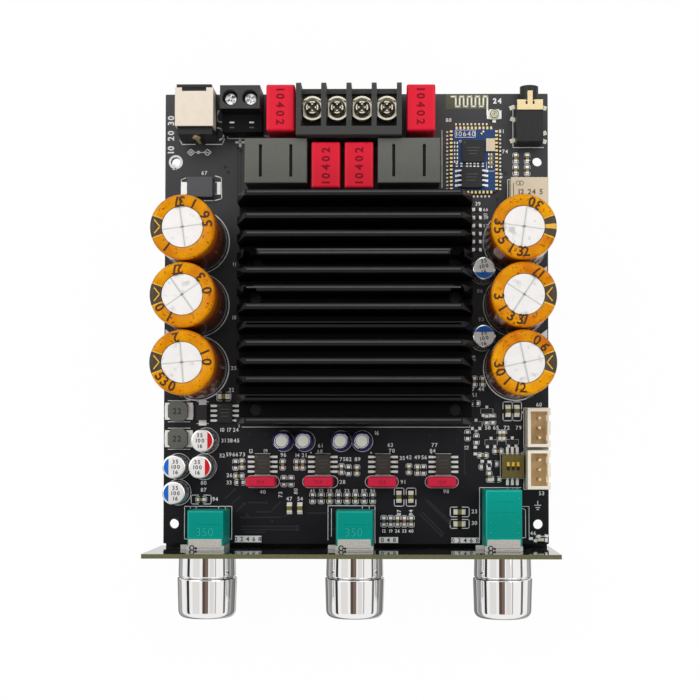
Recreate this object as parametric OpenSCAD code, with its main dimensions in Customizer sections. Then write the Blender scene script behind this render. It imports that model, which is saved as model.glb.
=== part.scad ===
// Stereo audio amplifier board with tone controls: a main board with its parts, a finned heatsink
// screwed on from below and a front panel that carries three rotary controls.
// Millimetres, +Z up. The origin is the centre of the four mounting holes, on the board's underside.

/* [Main board] */
// Width of the main board, left to right
board_w = 100; // [90:0.5:115]
// Length of the main board, front to rear
board_l = 117.4; // [106:0.2:130]
// Thickness of the main board
board_t = 1.6; // [1:0.1:2.4]
// Corner radius of the main board
board_corner_r = 0.3; // [0.2:0.1:2]
// Distance of the mounting holes from the side edges
hole_side_inset = 2.75; // [2.5:0.05:4]
// Mounting hole spacing, front to rear
hole_pitch_y = 94.5; // [90:0.5:95]
// Mounting hole diameter
hole_d = 2.5; // [2:0.1:3.2]
// Distance from the front pair of holes to the front edge
hole_front_inset = 5.1; // [3:0.1:8]
// Placement grid of the small parts
grid = 0.1; // [0.1:0.01:0.12]

/* [Front panel] */
// Length of the panel past the board's left edge
panel_over_left = 1.1; // [0:0.05:8]
// Length of the panel past the board's right edge
panel_over_right = 0.4; // [0:0.05:8]
// Thickness of the front panel
panel_t = 1.1; // [1:0.1:2.4]
// Height of the panel's top edge above the board's underside
panel_top = 26.2; // [18:0.2:32]
// Gap between the board's front edge and the panel
panel_gap = 0.8; // [0.3:0.1:3]

/* [Heatsink] */
// Height of the heatsink above its underside
hs_h = 18.6; // [14:0.2:30]
// Thickness of the heatsink's base
hs_base_t = 4.5; // [3:0.1:7]
// Number of fins
fin_count = 13; // [9:1:13]
// Distance from an outer fin to the next one
fin_outer_gap = 5.65; // [4.5:0.05:6]
// Fin thickness at its tip
fin_tip_t = 1.4; // [1:0.1:1.8]
// Fin thickness at its root
fin_root_t = 2.4; // [1.8:0.1:2.8]
// Length of the sloped cut at each end of the fins
fin_end_cut_x = 2.9; // [1:0.1:5]
// Height of the sloped cut at each end of the fins
fin_end_cut_z = 9; // [4:0.2:11]
// Distance from the board's front edge to the heatsink
hs_front_gap = 30.9; // [30:0.1:33]
// Distance of the tapped holes from the heatsink's ends
tap_side = 4.15; // [3:0.05:6]
// Distance from the heatsink's front to the front row of taps
tap_row_1 = 3.7; // [3.4:0.1:6]
// Distance from the heatsink's front to the middle row of taps
tap_row_2 = 32.4; // [28:0.1:36]
// Distance from the heatsink's front to the rear row of taps
tap_row_3 = 41.9; // [38:0.1:46]
// Diameter of the heatsink screws
hs_screw_d = 3; // [2.5:0.1:3.2]
// Diameter of the screw heads
hs_head_d = 5.6; // [5:0.1:6.5]
// Height of the screw heads
hs_head_h = 2.4; // [1.8:0.1:3]
// Outer diameter of the spacers
spacer_d = 6; // [5:0.1:7]

/* [Amplifier chip] */
// Length of the chip's body
amp_l = 14; // [10:0.5:18]
// Width of the chip's body
amp_w = 6.1; // [4:0.1:8]
// Height of the chip above the board
amp_h = 1.1; // [0.8:0.1:2]
// Thickness of the thermal pad
pad_t = 0.3; // [0.2:0.1:0.8]
// Reach of the leads past the body on each side
amp_lead_reach = 1; // [0.8:0.1:1.5]
// Pitch of the leads
amp_lead_pitch = 0.635; // [0.5:0.005:0.65]

/* [Power jack] */
// Gap between the jack's shield and the power terminal
jack_gap = 1.6; // [0.5:0.05:3]
// Distance of the jack's rear face from the board's rear edge
jack_set_in = 0.25; // [0:0.05:1]
// Width of the jack's housing
jack_w = 8.9; // [8:0.1:9]
// Length of the jack's housing
jack_l = 12.4; // [11:0.1:14]
// Height of the jack above the board
jack_h = 11; // [10:0.1:13]
// Height of the plug's axis above the board
jack_axis = 6.3; // [5.5:0.1:7]
// Diameter of the plug's opening
jack_bore_d = 6.3; // [5.6:0.1:6.6]
// Depth of the plug's opening
jack_bore_l = 9.2; // [7:0.1:10]
// Diameter of the centre pin
jack_pin_d = 2; // [1.6:0.1:2.6]
// Sheet thickness of the shield
jack_shield_t = 0.4; // [0.2:0.05:0.6]
// Length of the shield
jack_shield_l = 9.8; // [8:0.1:10.5]
// Length of the low step at the jack's inner end
jack_back_l = 1.8; // [1:0.1:3]
// Depth of that step below the jack's top
jack_back_drop = 1.3; // [0.5:0.1:3]
// Thickness of the jack's flange
jack_flange_t = 0.8; // [0.6:0.1:1.6]

/* [Power terminal] */
// Gap between the terminal and the film capacitor beside it
power_gap = 1.8; // [0.5:0.05:3]
// Pitch of the two poles
power_pitch = 5.08; // [5:0.01:5.2]
// Length of the terminal, front to rear
power_l = 11; // [10:0.1:12]
// Height of the tall rear part
power_h = 10; // [9:0.1:12]
// Height of the low front part
power_step_h = 5.6; // [5:0.1:6]
// Length of the tall rear part
power_top_l = 6.1; // [5.4:0.1:7]
// Diameter of the screw wells
power_well_d = 4; // [3.6:0.1:4.4]
// Width of a wire entry
entry_w = 4.1; // [3.6:0.1:4.3]
// Height of a wire entry
entry_h = 4.4; // [3.8:0.1:4.6]
// Wall of a clamp cage
cage_wall = 0.45; // [0.3:0.05:0.7]

/* [Speaker terminal] */
// Pitch of the four poles
barrier_pitch = 6.35; // [6.2:0.01:6.4]
// Sideways offset of the terminal's middle
barrier_x = -1.45; // [-2:0.05:-1]
// Length of the terminal, front to rear
barrier_l = 13.3; // [12:0.1:14]
// Distance of the terminal's rear face from the board's rear edge
barrier_set_in = 0.5; // [0:0.05:1]
// Height of the dividers above the board
barrier_h = 14; // [12:0.1:16]
// Height of the floor that the clamp plates lie on
barrier_floor = 6.4; // [5:0.1:7.5]
// Thickness of a divider
divider_t = 1.25; // [1:0.05:1.5]
// Thickness of the wall along the front
barrier_wall_t = 2.1; // [1.2:0.1:2.4]
// Height of the lip at the rear above the floor
barrier_lip_h = 0.8; // [0.4:0.1:1.2]
// Diameter of the screw heads
barrier_screw_d = 4.2; // [3.6:0.1:4.6]

/* [Film capacitors and inductors] */
// Width of a film capacitor
film_w = 7.3; // [6:0.1:7.8]
// Length of a film capacitor
film_l = 11.75; // [9:0.05:11.9]
// Height of a film capacitor
film_h = 12; // [9:0.1:15]
// Gap between the speaker terminal and the film capacitor on its left
film_gap_left = 0.4; // [0.3:0.05:2]
// Gap between the speaker terminal and the film capacitor on its right
film_gap_right = 1.2; // [0.3:0.05:2]
// Distance of the outer film capacitors from the board's rear edge
film_set_in = 0.55; // [0:0.05:1]
// Gap between the two inner film capacitors
film_pair_gap = 1.1; // [0.3:0.05:2]
// Sideways offset of the inner pair from the speaker terminal's middle
film_pair_x = -1.7; // [-3:0.05:1]
// Distance of the inner pair from the heatsink
film_hs_gap = 1.85; // [0.5:0.05:3]
// Edge radius of a film capacitor
film_r = 0.6; // [0.3:0.1:1]
// Width of an output inductor
coil_w = 15.8; // [14:0.1:16.4]
// Length of an output inductor
coil_l = 11.5; // [10:0.1:12]
// Height of an output inductor
coil_h = 12; // [6:0.1:14]
// Gap between an inductor and the inner film capacitor beside it
coil_film_gap = 1.1; // [0.3:0.05:2]
// Gap between the heatsink and the inductors
coil_hs_gap = 3.1; // [1:0.1:5]
// Gap between the inductors and the speaker terminal
coil_barrier_gap = 0.4; // [0.3:0.05:2]

/* [Bulk capacitors] */
// How much shorter the row of capacitors is than the heatsink
bulk_row_short = 8.7; // [4:0.1:12]
// Height above the board
bulk_h = 25; // [18:0.5:32]
// Sleeve thickness
bulk_sleeve_t = 0.3; // [0.2:0.05:0.5]
// Width of the sleeve's rim turned over the top
bulk_rim_w = 2.9; // [1.5:0.1:3.5]
// Distance of the capacitors from the board's side edges
bulk_edge = 0.5; // [0.3:0.1:2]
// Gap between the capacitors and the heatsink
bulk_hs_gap = 3.7; // [1:0.1:6]
// Gap between one capacitor and the next
bulk_gap = 0.5; // [0.3:0.1:2]
// Distance from the board's front edge to the front capacitors
bulk_front = 37.6; // [36:0.1:40]

/* [Small capacitors] */
// Diameter of a small can
can_d = 6; // [4:0.1:6.3]
// Height of a small can with its seal
can_h = 7.4; // [4.5:0.1:8]
// Diameter of the seal under a small can
can_base_w = 5.5; // [4:0.1:6]
// Gap between the heatsink and the small cans beside it
can_hs_gap = 0.1; // [0.1:0.05:2]
// Diameter of a radial capacitor
radial_d = 5; // [4:0.1:5.2]
// Height of a radial capacitor
radial_h = 7; // [5:0.1:11]
// Width of a tone capacitor
tone_w = 7.4; // [6:0.1:7.6]
// Thickness of a tone capacitor
tone_t = 2.7; // [2:0.1:3]
// Height of a tone capacitor
tone_h = 6; // [4:0.1:8]

/* [Small chips] */
// Body width of an eight-lead chip
soic_w = 3.9; // [3.6:0.1:4.1]
// Body length of an eight-lead chip
soic_l = 4.9; // [4.6:0.1:5.2]
// Height of an eight-lead chip
soic_h = 1.35; // [1.2:0.05:1.4]
// Lead span of an eight-lead chip
soic_span = 6; // [5.6:0.1:6.3]
// Pitch of the tone chips
opamp_pitch = 15.65; // [15:0.05:16]
// Distance from the board's front edge to the tone chips
opamp_front = 20.6; // [20:0.1:21]

/* [Chip parts] */
// Length of a small chip part
chip_l = 1.6; // [1:0.1:2]
// Width of a small chip part
chip_w = 0.8; // [0.5:0.05:1]
// Height of a chip resistor
resistor_h = 0.45; // [0.3:0.05:0.6]
// Height of a small chip capacitor
ceramic_h = 0.8; // [0.5:0.05:1]
// Length of a large chip part
big_chip_l = 2; // [1.6:0.1:3.2]
// Width of a large chip part
big_chip_w = 1.25; // [0.8:0.05:1.6]
// Height of a large chip part
big_chip_h = 0.9; // [0.5:0.05:1.4]

/* [Wireless module] */
// Width of the wireless module
radio_w = 11.6; // [10:0.1:12]
// Length of the wireless module
radio_l = 16.6; // [14:0.1:18]
// Thickness of the wireless module's board
radio_t = 0.8; // [0.6:0.1:1.2]
// Gap between the module and the film capacitor beside it
radio_gap = 4.5; // [3:0.1:6]
// Distance from the board's rear edge to the module's middle
radio_rear = 17.55; // [16:0.05:18]
// Side of the module's square processor
processor_w = 5.7; // [4:0.1:6]
// Body side of the module's memory chip
memory_w = 5.3; // [4:0.1:5.6]
// Lead span of the module's memory chip
memory_span = 7.9; // [6:0.1:8.4]
// Width of the module's crystal
crystal_w = 2.3; // [1.6:0.1:2.5]
// Length of the module's crystal
crystal_l = 3.3; // [2:0.1:3.5]

/* [Audio jack, relay and headers] */
// Width of the audio jack
audio_w = 6.8; // [6:0.1:8]
// Length of the audio jack's housing
audio_l = 10.4; // [10:0.1:12]
// Height of the audio jack
audio_h = 5.2; // [5:0.1:6.5]
// Gap between the audio jack and the wireless module
audio_gap = 5; // [3:0.1:6]
// Distance of the housing's rear face from the board's rear edge
audio_set_in = 3.2; // [1:0.1:4]
// Diameter of the audio jack's nose
audio_nose_d = 4.8; // [4.6:0.1:5]
// Length of the nose past the board's rear edge
audio_nose_l = 1; // [0.5:0.1:3]
// Diameter of the plug's bore
audio_bore_d = 3.6; // [3.5:0.05:3.8]
// Depth of the plug's bore
audio_bore_l = 12; // [10:0.1:13]
// Width of the relay
relay_w = 9.7; // [8:0.1:10]
// Length of the relay
relay_l = 7.1; // [5:0.1:7.4]
// Gap between the relay and the bulk capacitor in front of it
relay_gap = 0.75; // [0.3:0.05:2]
// Height of the relay
relay_h = 5.4; // [4:0.1:10]
// Outer width of a header
header_w = 5.8; // [5:0.1:6]
// Outer length of a header
header_l = 9.9; // [9:0.1:10.2]
// Height of a header
header_h = 7; // [5:0.1:9]
// Wall of a header
header_wall = 0.8; // [0.6:0.05:1]
// Pitch of the header pins
header_pin_pitch = 2.5; // [2.4:0.01:2.54]
// Thickness of a header pin
header_pin_t = 0.64; // [0.5:0.01:0.7]

/* [Sliding switch] */
// Width of the switch
switch_w = 5.6; // [5.2:0.1:5.8]
// Length of the switch
switch_l = 6; // [5:0.1:6.2]
// Height of the switch
switch_h = 2.5; // [2:0.1:4]
// Pitch of the sliders
slider_pitch = 1.27; // [1.2:0.01:1.4]
// Width of a slider
slider_w = 0.7; // [0.5:0.05:0.9]
// Length of a slider
slider_l = 1.1; // [0.8:0.05:1.4]
// Travel of a slider
slider_travel = 1; // [0.6:0.1:1.4]
// Running gap around a slider
slider_gap = 0.06; // [0.03:0.01:0.1]

/* [Rotary controls] */
// Distance of the outer controls from the board's side edges
control_side = 12.5; // [8:0.1:16]
// Height of the shafts' axis above the board
control_axis = 7; // [6.5:0.1:7.4]
// Width of a control's case
control_w = 9.5; // [8.5:0.1:10]
// Height of a control's case above the board
control_h = 11.2; // [10.5:0.1:13]
// Length of the case of the tone controls
control_l = 8.8; // [6:0.1:10]
// Length of the case of the volume control
control_long_l = 14.1; // [10:0.1:15]
// Thickness of a control's front plate
control_plate_t = 1; // [0.6:0.1:1.4]
// Length of the plate's flange over the case
control_flange_l = 1.7; // [1:0.1:2.4]
// Outer diameter of the threaded bushing
bushing_d = 7; // [6.8:0.1:8]
// Length of the bushing in front of the plate
bushing_l = 6; // [5:0.1:6.4]
// Diameter of the shaft
shaft_d = 6; // [5:0.1:6]
// Running clearance of the shaft, on the radius
shaft_clear = 0.05; // [0.02:0.01:0.1]
// Depth of the flat on the shaft's end
shaft_flat = 1.5; // [1:0.1:2]
// Width of the nut across its flats
nut_w = 10; // [9.5:0.1:10.4]
// Thickness of the nut
nut_t = 2; // [1.5:0.1:2.4]

/* [Knobs] */
// Largest diameter of a knob
knob_d = 15; // [14.6:0.1:18]
// Wall of a knob round the hollow behind it
knob_wall = 1.05; // [0.8:0.05:1.2]
// Gap between a nut's corners and the knob round it
knob_nut_gap = 0.43; // [0.3:0.01:0.8]
// Length of a knob
knob_l = 15.4; // [15:0.1:20]
// Length of the section next to the panel
knob_back_l = 5.2; // [3:0.1:6]
// Diameter at the front end
knob_front_d = 14.5; // [13.5:0.1:14.9]
// Radius of the front edge
knob_edge_r = 1.8; // [0.8:0.1:2.4]
// Gap between a knob and the panel
knob_gap = 0.7; // [0.4:0.1:2]
// Depth of the hollow behind a knob
knob_hollow_l = 6.2; // [6:0.1:7]

/* [Hidden] */
$fn = 48;

// Small extra length that lets a cut pass its face
cut = 0.2;
// Radial clearance of a screw in its hole
screw_clear = 0.05;
// Clearance between pieces that fit into each other
fit_gap = 0.1;

spacer_h = amp_h + pad_t;
hs_z = board_t + spacer_h;

// The heatsink fills the board's length between the front parts and the rear row
rear_zone_l = coil_hs_gap + coil_l + coil_barrier_gap + barrier_l + barrier_set_in;
hs_l = board_l - hs_front_gap - rear_zone_l;
fin_inner_span = hs_l - fin_tip_t - 2 * fin_outer_gap;
fin_pitch = fin_inner_span / (fin_count - 3);
// Three bulk capacitors stand in a row on each side, and the heatsink is as wide as they leave room for
bulk_d = (hs_l - bulk_row_short - 2 * bulk_gap) / 3;
hs_w = board_w - 2 * (bulk_hs_gap + bulk_d + bulk_edge);
tap_pitch_x = hs_w - 2 * tap_side;
hole_pitch_x = board_w - 2 * hole_side_inset;

left_x = -board_w / 2;
right_x = board_w / 2;
front_y = -hole_pitch_y / 2 - hole_front_inset;
rear_y = front_y + board_l;
hs_front_y = front_y + hs_front_gap;
hs_mid_y = hs_front_y + hs_l / 2;
hs_rear_y = hs_front_y + hs_l;
tap_rows = [tap_row_1, tap_row_2, tap_row_3];
screw_rows = [tap_row_1, tap_row_2];
tap_d = hs_screw_d + 2 * screw_clear;

panel_w = board_w + panel_over_left + panel_over_right;
panel_offset = (panel_over_right - panel_over_left) / 2;
panel_back_y = front_y - panel_gap;
panel_front_y = panel_back_y - panel_t;
panel_bottom = -hs_head_h;
axis_z = board_t + control_axis;
control_pitch = board_w / 2 - control_side;
control_x = [-control_pitch, 0, control_pitch];
control_lengths = [control_l, control_l, control_long_l];
case_front_y = panel_back_y + control_plate_t;
knob_back_y = panel_front_y - knob_gap;
shaft_inner_l = 3;
shaft_tip_gap = 2.5;
shaft_end_y = knob_back_y - knob_l + shaft_tip_gap;
shaft_bore_d = shaft_d + 2 * shaft_clear;
// Distance of a control plate's locating lug from the shaft
lug_x = 6.2;
// A knob's section next to the panel passes over the nut
nut_corner_d = nut_w / cos(30);
knob_hollow_d = nut_corner_d + 2 * knob_nut_gap;
knob_back_d = knob_hollow_d + 2 * knob_wall;
// Distance from a knob's back face to the hub that grips the shaft
hub_gap = 0.4;
hub_back = bushing_l - panel_t - knob_gap + hub_gap;

bulk_inset = bulk_edge + bulk_d / 2;
bulk_pitch = bulk_d + bulk_gap;
bulk_x = [for (side = [left_x + bulk_inset, right_x - bulk_inset]) for (i = [0:2]) side];
bulk_y = [for (side = [0, 1]) for (i = [0:2]) front_y + bulk_front + bulk_d / 2 + (2 - i) * bulk_pitch];
bulk_rear_y = bulk_y[0] + bulk_d / 2;

// Distance of the amplifier chip from the heatsink's front
amp_y = 43.5;
// As many leads as fit along the chip
amp_leads = floor(amp_l / amp_lead_pitch);

// The rear row is set out from the speaker terminal to both sides
barrier_w = 4 * barrier_pitch + divider_t;
barrier_rear_y = rear_y - barrier_set_in;
film_left_x = barrier_x - barrier_w / 2 - film_gap_left - film_w / 2;
film_right_x = barrier_x + barrier_w / 2 + film_gap_right + film_w / 2;
power_w = 2 * power_pitch;
power_x = film_left_x - film_w / 2 - power_gap - power_w / 2;
jack_shield_w = jack_w + 2 * jack_shield_t;
jack_x = power_x - power_w / 2 - jack_gap - jack_shield_w / 2;
jack_rear_y = rear_y - jack_set_in;
radio_x = film_right_x + film_w / 2 + radio_gap + radio_w / 2;
radio_y = rear_y - radio_rear;
audio_x = radio_x + radio_w / 2 + audio_gap + audio_w / 2;
audio_rear_y = rear_y - audio_set_in;
audio_axis = audio_h / 2;

// Middle of each film capacitor: the outer pair by the rear edge, the inner pair between the inductors
film_rear_y = rear_y - film_set_in - film_l / 2;
film_inner_y = hs_rear_y + film_hs_gap + film_l / 2;
film_pair_step = (film_w + film_pair_gap) / 2;
film_places = [
    [film_left_x, film_rear_y],
    [barrier_x + film_pair_x - film_pair_step, film_inner_y],
    [barrier_x + film_pair_x + film_pair_step, film_inner_y],
    [film_right_x, film_rear_y]
];
coil_step = film_pair_step + film_w / 2 + coil_film_gap + coil_w / 2;
coil_y = hs_rear_y + coil_hs_gap + coil_l / 2;
coil_x = [barrier_x + film_pair_x - coil_step, barrier_x + film_pair_x + coil_step];

// Distance of the power terminal's rear face from the board's rear edge
power_set_in = 0.1;
// Distance of the terminal's screws from its rear face
power_screw_y = 3.2;
// Diameter of the terminal screws' shank
power_shank_d = 2.4;
// Thickness of the roof between a wire entry and its screw well
entry_roof = 1.2;
// Length of a wire entry
entry_l = 7;
// Height of a wire entry's floor
entry_z = 0.9;
// Set-back of a clamp cage behind the mouth
cage_set_in = 1;

// Distance of the screws from the speaker terminal's rear face
barrier_screw_y = 5.2;
// Thickness of a clamp plate
clamp_t = 0.7;
// Thickness of the lip along the rear of each pole
barrier_lip_t = 1.3;
// Diameter of the speaker terminal screws' shank
barrier_shank_d = 3;
// Depth of the screw holes below the speaker terminal's floor
barrier_hole_l = 3;

// Places on the grid, counted from the board's edges or from its middle
function from_left(n) = left_x + n * grid;
function from_right(n) = right_x - n * grid;
function from_front(n) = front_y + n * grid;
function from_rear(n) = rear_y - n * grid;
function across(n) = n * grid;

// Middle of each small can and the turn that puts its marked side in place
can_side_x = hs_w / 2 + can_hs_gap + can_d / 2;
can_places = [
    [can_side_x, bulk_y[0] - bulk_pitch / 2 + across(4.5), 0],
    [can_side_x, bulk_y[1] - bulk_pitch / 2 - across(3.5), 180],
    [from_left(38), from_front(200), -90],
    [from_left(38), from_front(133), -90],
    [from_left(111), from_front(267), 90],
    [from_left(105), from_front(199), 90]
];
// Height of the seal under a small can
can_base_h = 0.5;
// Middle of each radial capacitor
radial_x = [across(-188), across(-133), across(-38), across(17)];
radial_y = from_front(266);
// Middle of each tone chip and of each tone capacitor
opamp_mid_x = across(-7.5);
opamp_x = [for (i = [0:3]) opamp_mid_x + (i - 1.5) * opamp_pitch];
tone_x = [across(-242), across(-94), across(69), across(222)];
tone_y = from_front(161.5);
// Middle of each small transistor and of the supply converter
transistor_places = [
    [from_right(160), from_front(344)],
    [from_right(149), from_front(263)],
    [from_right(94), from_front(264)],
    [from_right(188), from_front(310)]
];
converter_place = [from_left(160), from_front(338.5)];
supply_coil_x = from_left(39.5);
supply_coil_y = [from_front(343.5), from_front(272)];
// Middle of each header and the offset of its pins towards the board's edge
header_x = from_right(31.5);
header_y = [from_front(300.5), from_front(193.5)];
header_floor = 1.5;
header_pin_x = 0.25;
// Middle of the sliding switch
switch_x = from_right(94);
switch_y = from_front(202);
slider_pocket = 1.2;
slider_stand = 0.3;
// Length and sheet thickness of the audio jack's bracket
bracket_l = 2.6;
bracket_t = 0.3;

// A rounded rectangle centred on the origin
module rounded_rect(w, l, r) {
    square([w - 2 * r, l], center = true);
    square([w, l - 2 * r], center = true);
    for (sx = [-1, 1], sy = [-1, 1])
        translate([sx * (w / 2 - r), sy * (l / 2 - r)])
            circle(r = r);
}

// A side profile with two rounded top corners, standing on the X axis
module arch_profile(w, h, r) {
    translate([-w / 2, 0])
        square([w, h - r]);
    translate([-w / 2 + r, 0])
        square([w - 2 * r, h]);
    for (s = [-1, 1])
        translate([s * (w / 2 - r), h - r])
            circle(r = r);
}

// A moulded block with rounded upright and top edges
module moulded_block(w, l, h, r) {
    intersection() {
        linear_extrude(h)
            rounded_rect(w, l, r);
        rotate([90, 0, 0])
            linear_extrude(l + 2 * cut, center = true)
                arch_profile(w, h, r);
        rotate([90, 0, 90])
            linear_extrude(w + 2 * cut, center = true)
                arch_profile(l, h, r);
    }
}

// A block centred in X and Y that stands on the given height
module block(w, l, h, z = 0) {
    translate([-w / 2, -l / 2, z])
        cube([w, l, h]);
}

// Children on the board's top face
module on_board(x, y, turn = 0) {
    translate([x, y, board_t])
        rotate([0, 0, turn])
            children();
}

// Children with their Z axis turned to the board's rear, at a height above the board
module facing_rear(x, y, z) {
    translate([x, y, board_t + z])
        rotate([-90, 0, 0])
            children();
}

// Children with their Z axis turned to the front, on the shaft axis of control i
module on_shaft(i, y) {
    translate([control_x[i], y, axis_z])
        rotate([90, 0, 0])
            children();
}

// A chip with gull-wing leads along its two sides in X
module leaded_chip(w, l, h, span, count, pitch, lead_w) {
    stand = 0.1;
    foot_l = 0.6;
    lead_t = 0.2;
    knee = (span - w) / 2 - foot_l + lead_t;
    block(w, l, h - stand, stand);
    for (side = [-1, 1], i = [0:count - 1])
        translate([0, (i - (count - 1) / 2) * pitch, 0])
            rotate([90, 0, 0])
                linear_extrude(lead_w, center = true)
                    polygon([
                        [side * span / 2, 0],
                        [side * (w / 2 + knee - lead_t), 0],
                        [side * (w / 2 + knee - lead_t), h / 2 - lead_t],
                        [side * w / 2, h / 2 - lead_t],
                        [side * w / 2, h / 2],
                        [side * (w / 2 + knee), h / 2],
                        [side * (w / 2 + knee), lead_t],
                        [side * span / 2, lead_t]
                    ]);
}

// A chip resistor, and a small and a large chip capacitor, lying along X or turned
module chip_resistor(x, y, turn = 90) {
    on_board(x, y, turn)
        block(chip_l, chip_w, resistor_h);
}

module chip_capacitor(x, y, turn = 90) {
    on_board(x, y, turn)
        block(chip_l, chip_w, ceramic_h);
}

module big_chip(x, y, turn = 90) {
    on_board(x, y, turn)
        block(big_chip_l, big_chip_w, big_chip_h);
}

module main_board() {
    color([0.13, 0.13, 0.14])
        difference() {
            translate([0, (front_y + rear_y) / 2, 0])
                linear_extrude(board_t)
                    rounded_rect(board_w, board_l, board_corner_r);
            for (sx = [-1, 1], sy = [-1, 1])
                translate([sx * hole_pitch_x / 2, sy * hole_pitch_y / 2, -cut])
                    cylinder(d = hole_d, h = board_t + 2 * cut);
            at_taps(screw_rows)
                translate([0, 0, -cut])
                    cylinder(d = tap_d, h = board_t + 2 * cut);
        }
}

module front_panel() {
    lug_hole_d = 1.4;
    color([0.08, 0.08, 0.09])
        difference() {
            translate([panel_offset - panel_w / 2, panel_front_y, panel_bottom])
                cube([panel_w, panel_t, panel_top - panel_bottom]);
            for (i = [0:2]) {
                on_shaft(i, panel_back_y + cut)
                    cylinder(d = bushing_d + 2 * fit_gap, h = panel_t + 2 * cut);
                on_shaft(i, panel_back_y + cut)
                    translate([-lug_x, 0, 0])
                        cylinder(d = lug_hole_d, h = panel_t + 2 * cut);
            }
        }
}

// Children at the heatsink's tapped holes in the given rows, on the board's underside
module at_taps(rows) {
    for (sx = [-1, 1], row = rows)
        translate([sx * tap_pitch_x / 2, hs_front_y + row, 0])
            children();
}

// Section of the heatsink across its fins
module heatsink_section() {
    fin_h = hs_h - hs_base_t;
    fin_lean = (fin_root_t - fin_tip_t) / 2;
    fin_sunk = 1;
    translate([-hs_l / 2, 0])
        square([hs_l, hs_base_t]);
    for (i = [0:fin_count - 3])
        translate([-fin_inner_span / 2 + i * fin_pitch, hs_base_t])
            polygon([
                [-fin_root_t / 2, 0],
                [-fin_root_t / 2, -fin_sunk],
                [fin_root_t / 2, -fin_sunk],
                [fin_root_t / 2, 0],
                [fin_root_t / 2 - fin_lean, fin_h],
                [-fin_root_t / 2 + fin_lean, fin_h]
            ]);
    for (side = [-1, 1])
        translate([side * hs_l / 2, hs_base_t])
            polygon([
                [0, -fin_sunk],
                [0, fin_h],
                [-side * fin_tip_t, fin_h],
                [-side * (fin_tip_t + fin_lean), 0],
                [-side * (fin_tip_t + fin_lean), -fin_sunk]
            ]);
}

module heatsink() {
    drill_d = tap_d + 0.6;
    color([0.1, 0.1, 0.1])
        difference() {
            translate([0, hs_mid_y, hs_z])
                intersection() {
                    rotate([90, 0, 90])
                        linear_extrude(hs_w, center = true)
                            heatsink_section();
                    rotate([90, 0, 0])
                        linear_extrude(hs_l + 2 * cut, center = true)
                            polygon([
                                [-hs_w / 2, 0],
                                [hs_w / 2, 0],
                                [hs_w / 2, hs_h - fin_end_cut_z],
                                [hs_w / 2 - fin_end_cut_x, hs_h],
                                [-hs_w / 2 + fin_end_cut_x, hs_h],
                                [-hs_w / 2, hs_h - fin_end_cut_z]
                            ]);
                }
            at_taps(tap_rows) {
                translate([0, 0, hs_z - cut])
                    cylinder(d = tap_d, h = hs_base_t + 2 * cut);
                translate([0, 0, hs_z + hs_base_t])
                    cylinder(d = drill_d, h = hs_h);
            }
        }
}

module heatsink_screws() {
    tip_short = 0.6;
    slot_w = 0.9;
    slot_depth = 1.3;
    dome = 0.6;
    color("silver")
        at_taps(screw_rows)
            difference() {
                union() {
                    cylinder(d = hs_screw_d, h = hs_z + hs_base_t - tip_short);
                    translate([0, 0, -hs_head_h + dome])
                        cylinder(d = hs_head_d, h = hs_head_h - dome);
                    translate([0, 0, -hs_head_h])
                        cylinder(d1 = hs_head_d - 2 * dome, d2 = hs_head_d, h = dome);
                }
                for (turn = [0, 90])
                    rotate([0, 0, turn])
                        block(slot_w, hs_head_d * 0.6, slot_depth + cut, -hs_head_h - cut);
            }
}

module heatsink_spacers() {
    color([0.85, 0.85, 0.82])
        at_taps(screw_rows)
            translate([0, 0, board_t])
                difference() {
                    cylinder(d = spacer_d, h = spacer_h);
                    translate([0, 0, -cut])
                        cylinder(d = tap_d, h = spacer_h + 2 * cut);
                }
}

module amplifier_chip() {
    lead_w = 0.25;
    lead_span = amp_w + 2 * amp_lead_reach;
    color([0.1, 0.1, 0.11])
        on_board(0, hs_front_y + amp_y, 90)
            leaded_chip(amp_w, amp_l, amp_h, lead_span, amp_leads, amp_lead_pitch, lead_w);
}

module thermal_pad() {
    margin = 1;
    color([0.55, 0.6, 0.65])
        on_board(0, hs_front_y + amp_y)
            block(amp_l + 2 * margin, amp_w + 2 * margin, pad_t, amp_h);
}

// Children in the frame of the power jack: origin at its rear face, on the board
module at_power_jack() {
    on_board(jack_x, jack_rear_y)
        children();
}

module power_jack_housing() {
    flange_h = jack_h;
    body_h = jack_h - jack_shield_t;
    back_h = jack_h - jack_back_drop;
    back_l = jack_back_l;
    color([0.09, 0.09, 0.1])
        difference() {
            at_power_jack() {
                translate([0, -jack_flange_t / 2, 0])
                    block(jack_w, jack_flange_t, flange_h);
                translate([0, -(jack_flange_t + jack_l - back_l) / 2, 0])
                    block(jack_w, jack_l - back_l - jack_flange_t, body_h);
                translate([0, -jack_l + back_l / 2, 0])
                    block(jack_w, back_l, back_h);
            }
            facing_rear(jack_x, jack_rear_y - jack_bore_l, jack_axis)
                cylinder(d = jack_bore_d, h = jack_bore_l + cut);
            facing_rear(jack_x, jack_rear_y - jack_l - cut, jack_axis)
                cylinder(d = jack_pin_d + 2 * screw_clear, h = jack_l);
        }
}

module power_jack_shield() {
    side_h = 5.5;
    notch_w = 6.2;
    notch_l = 0.9;
    color([0.85, 0.8, 0.74])
        at_power_jack()
            translate([0, -jack_flange_t - jack_shield_l / 2, 0])
                difference() {
                    block(jack_shield_w, jack_shield_l, side_h, jack_h - side_h);
                    block(jack_w, jack_shield_l + 2 * cut, side_h, jack_h - side_h - jack_shield_t);
                    translate([0, jack_shield_l / 2, 0])
                        block(notch_w, 2 * notch_l, side_h, jack_h - side_h / 2);
                }
}

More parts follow.
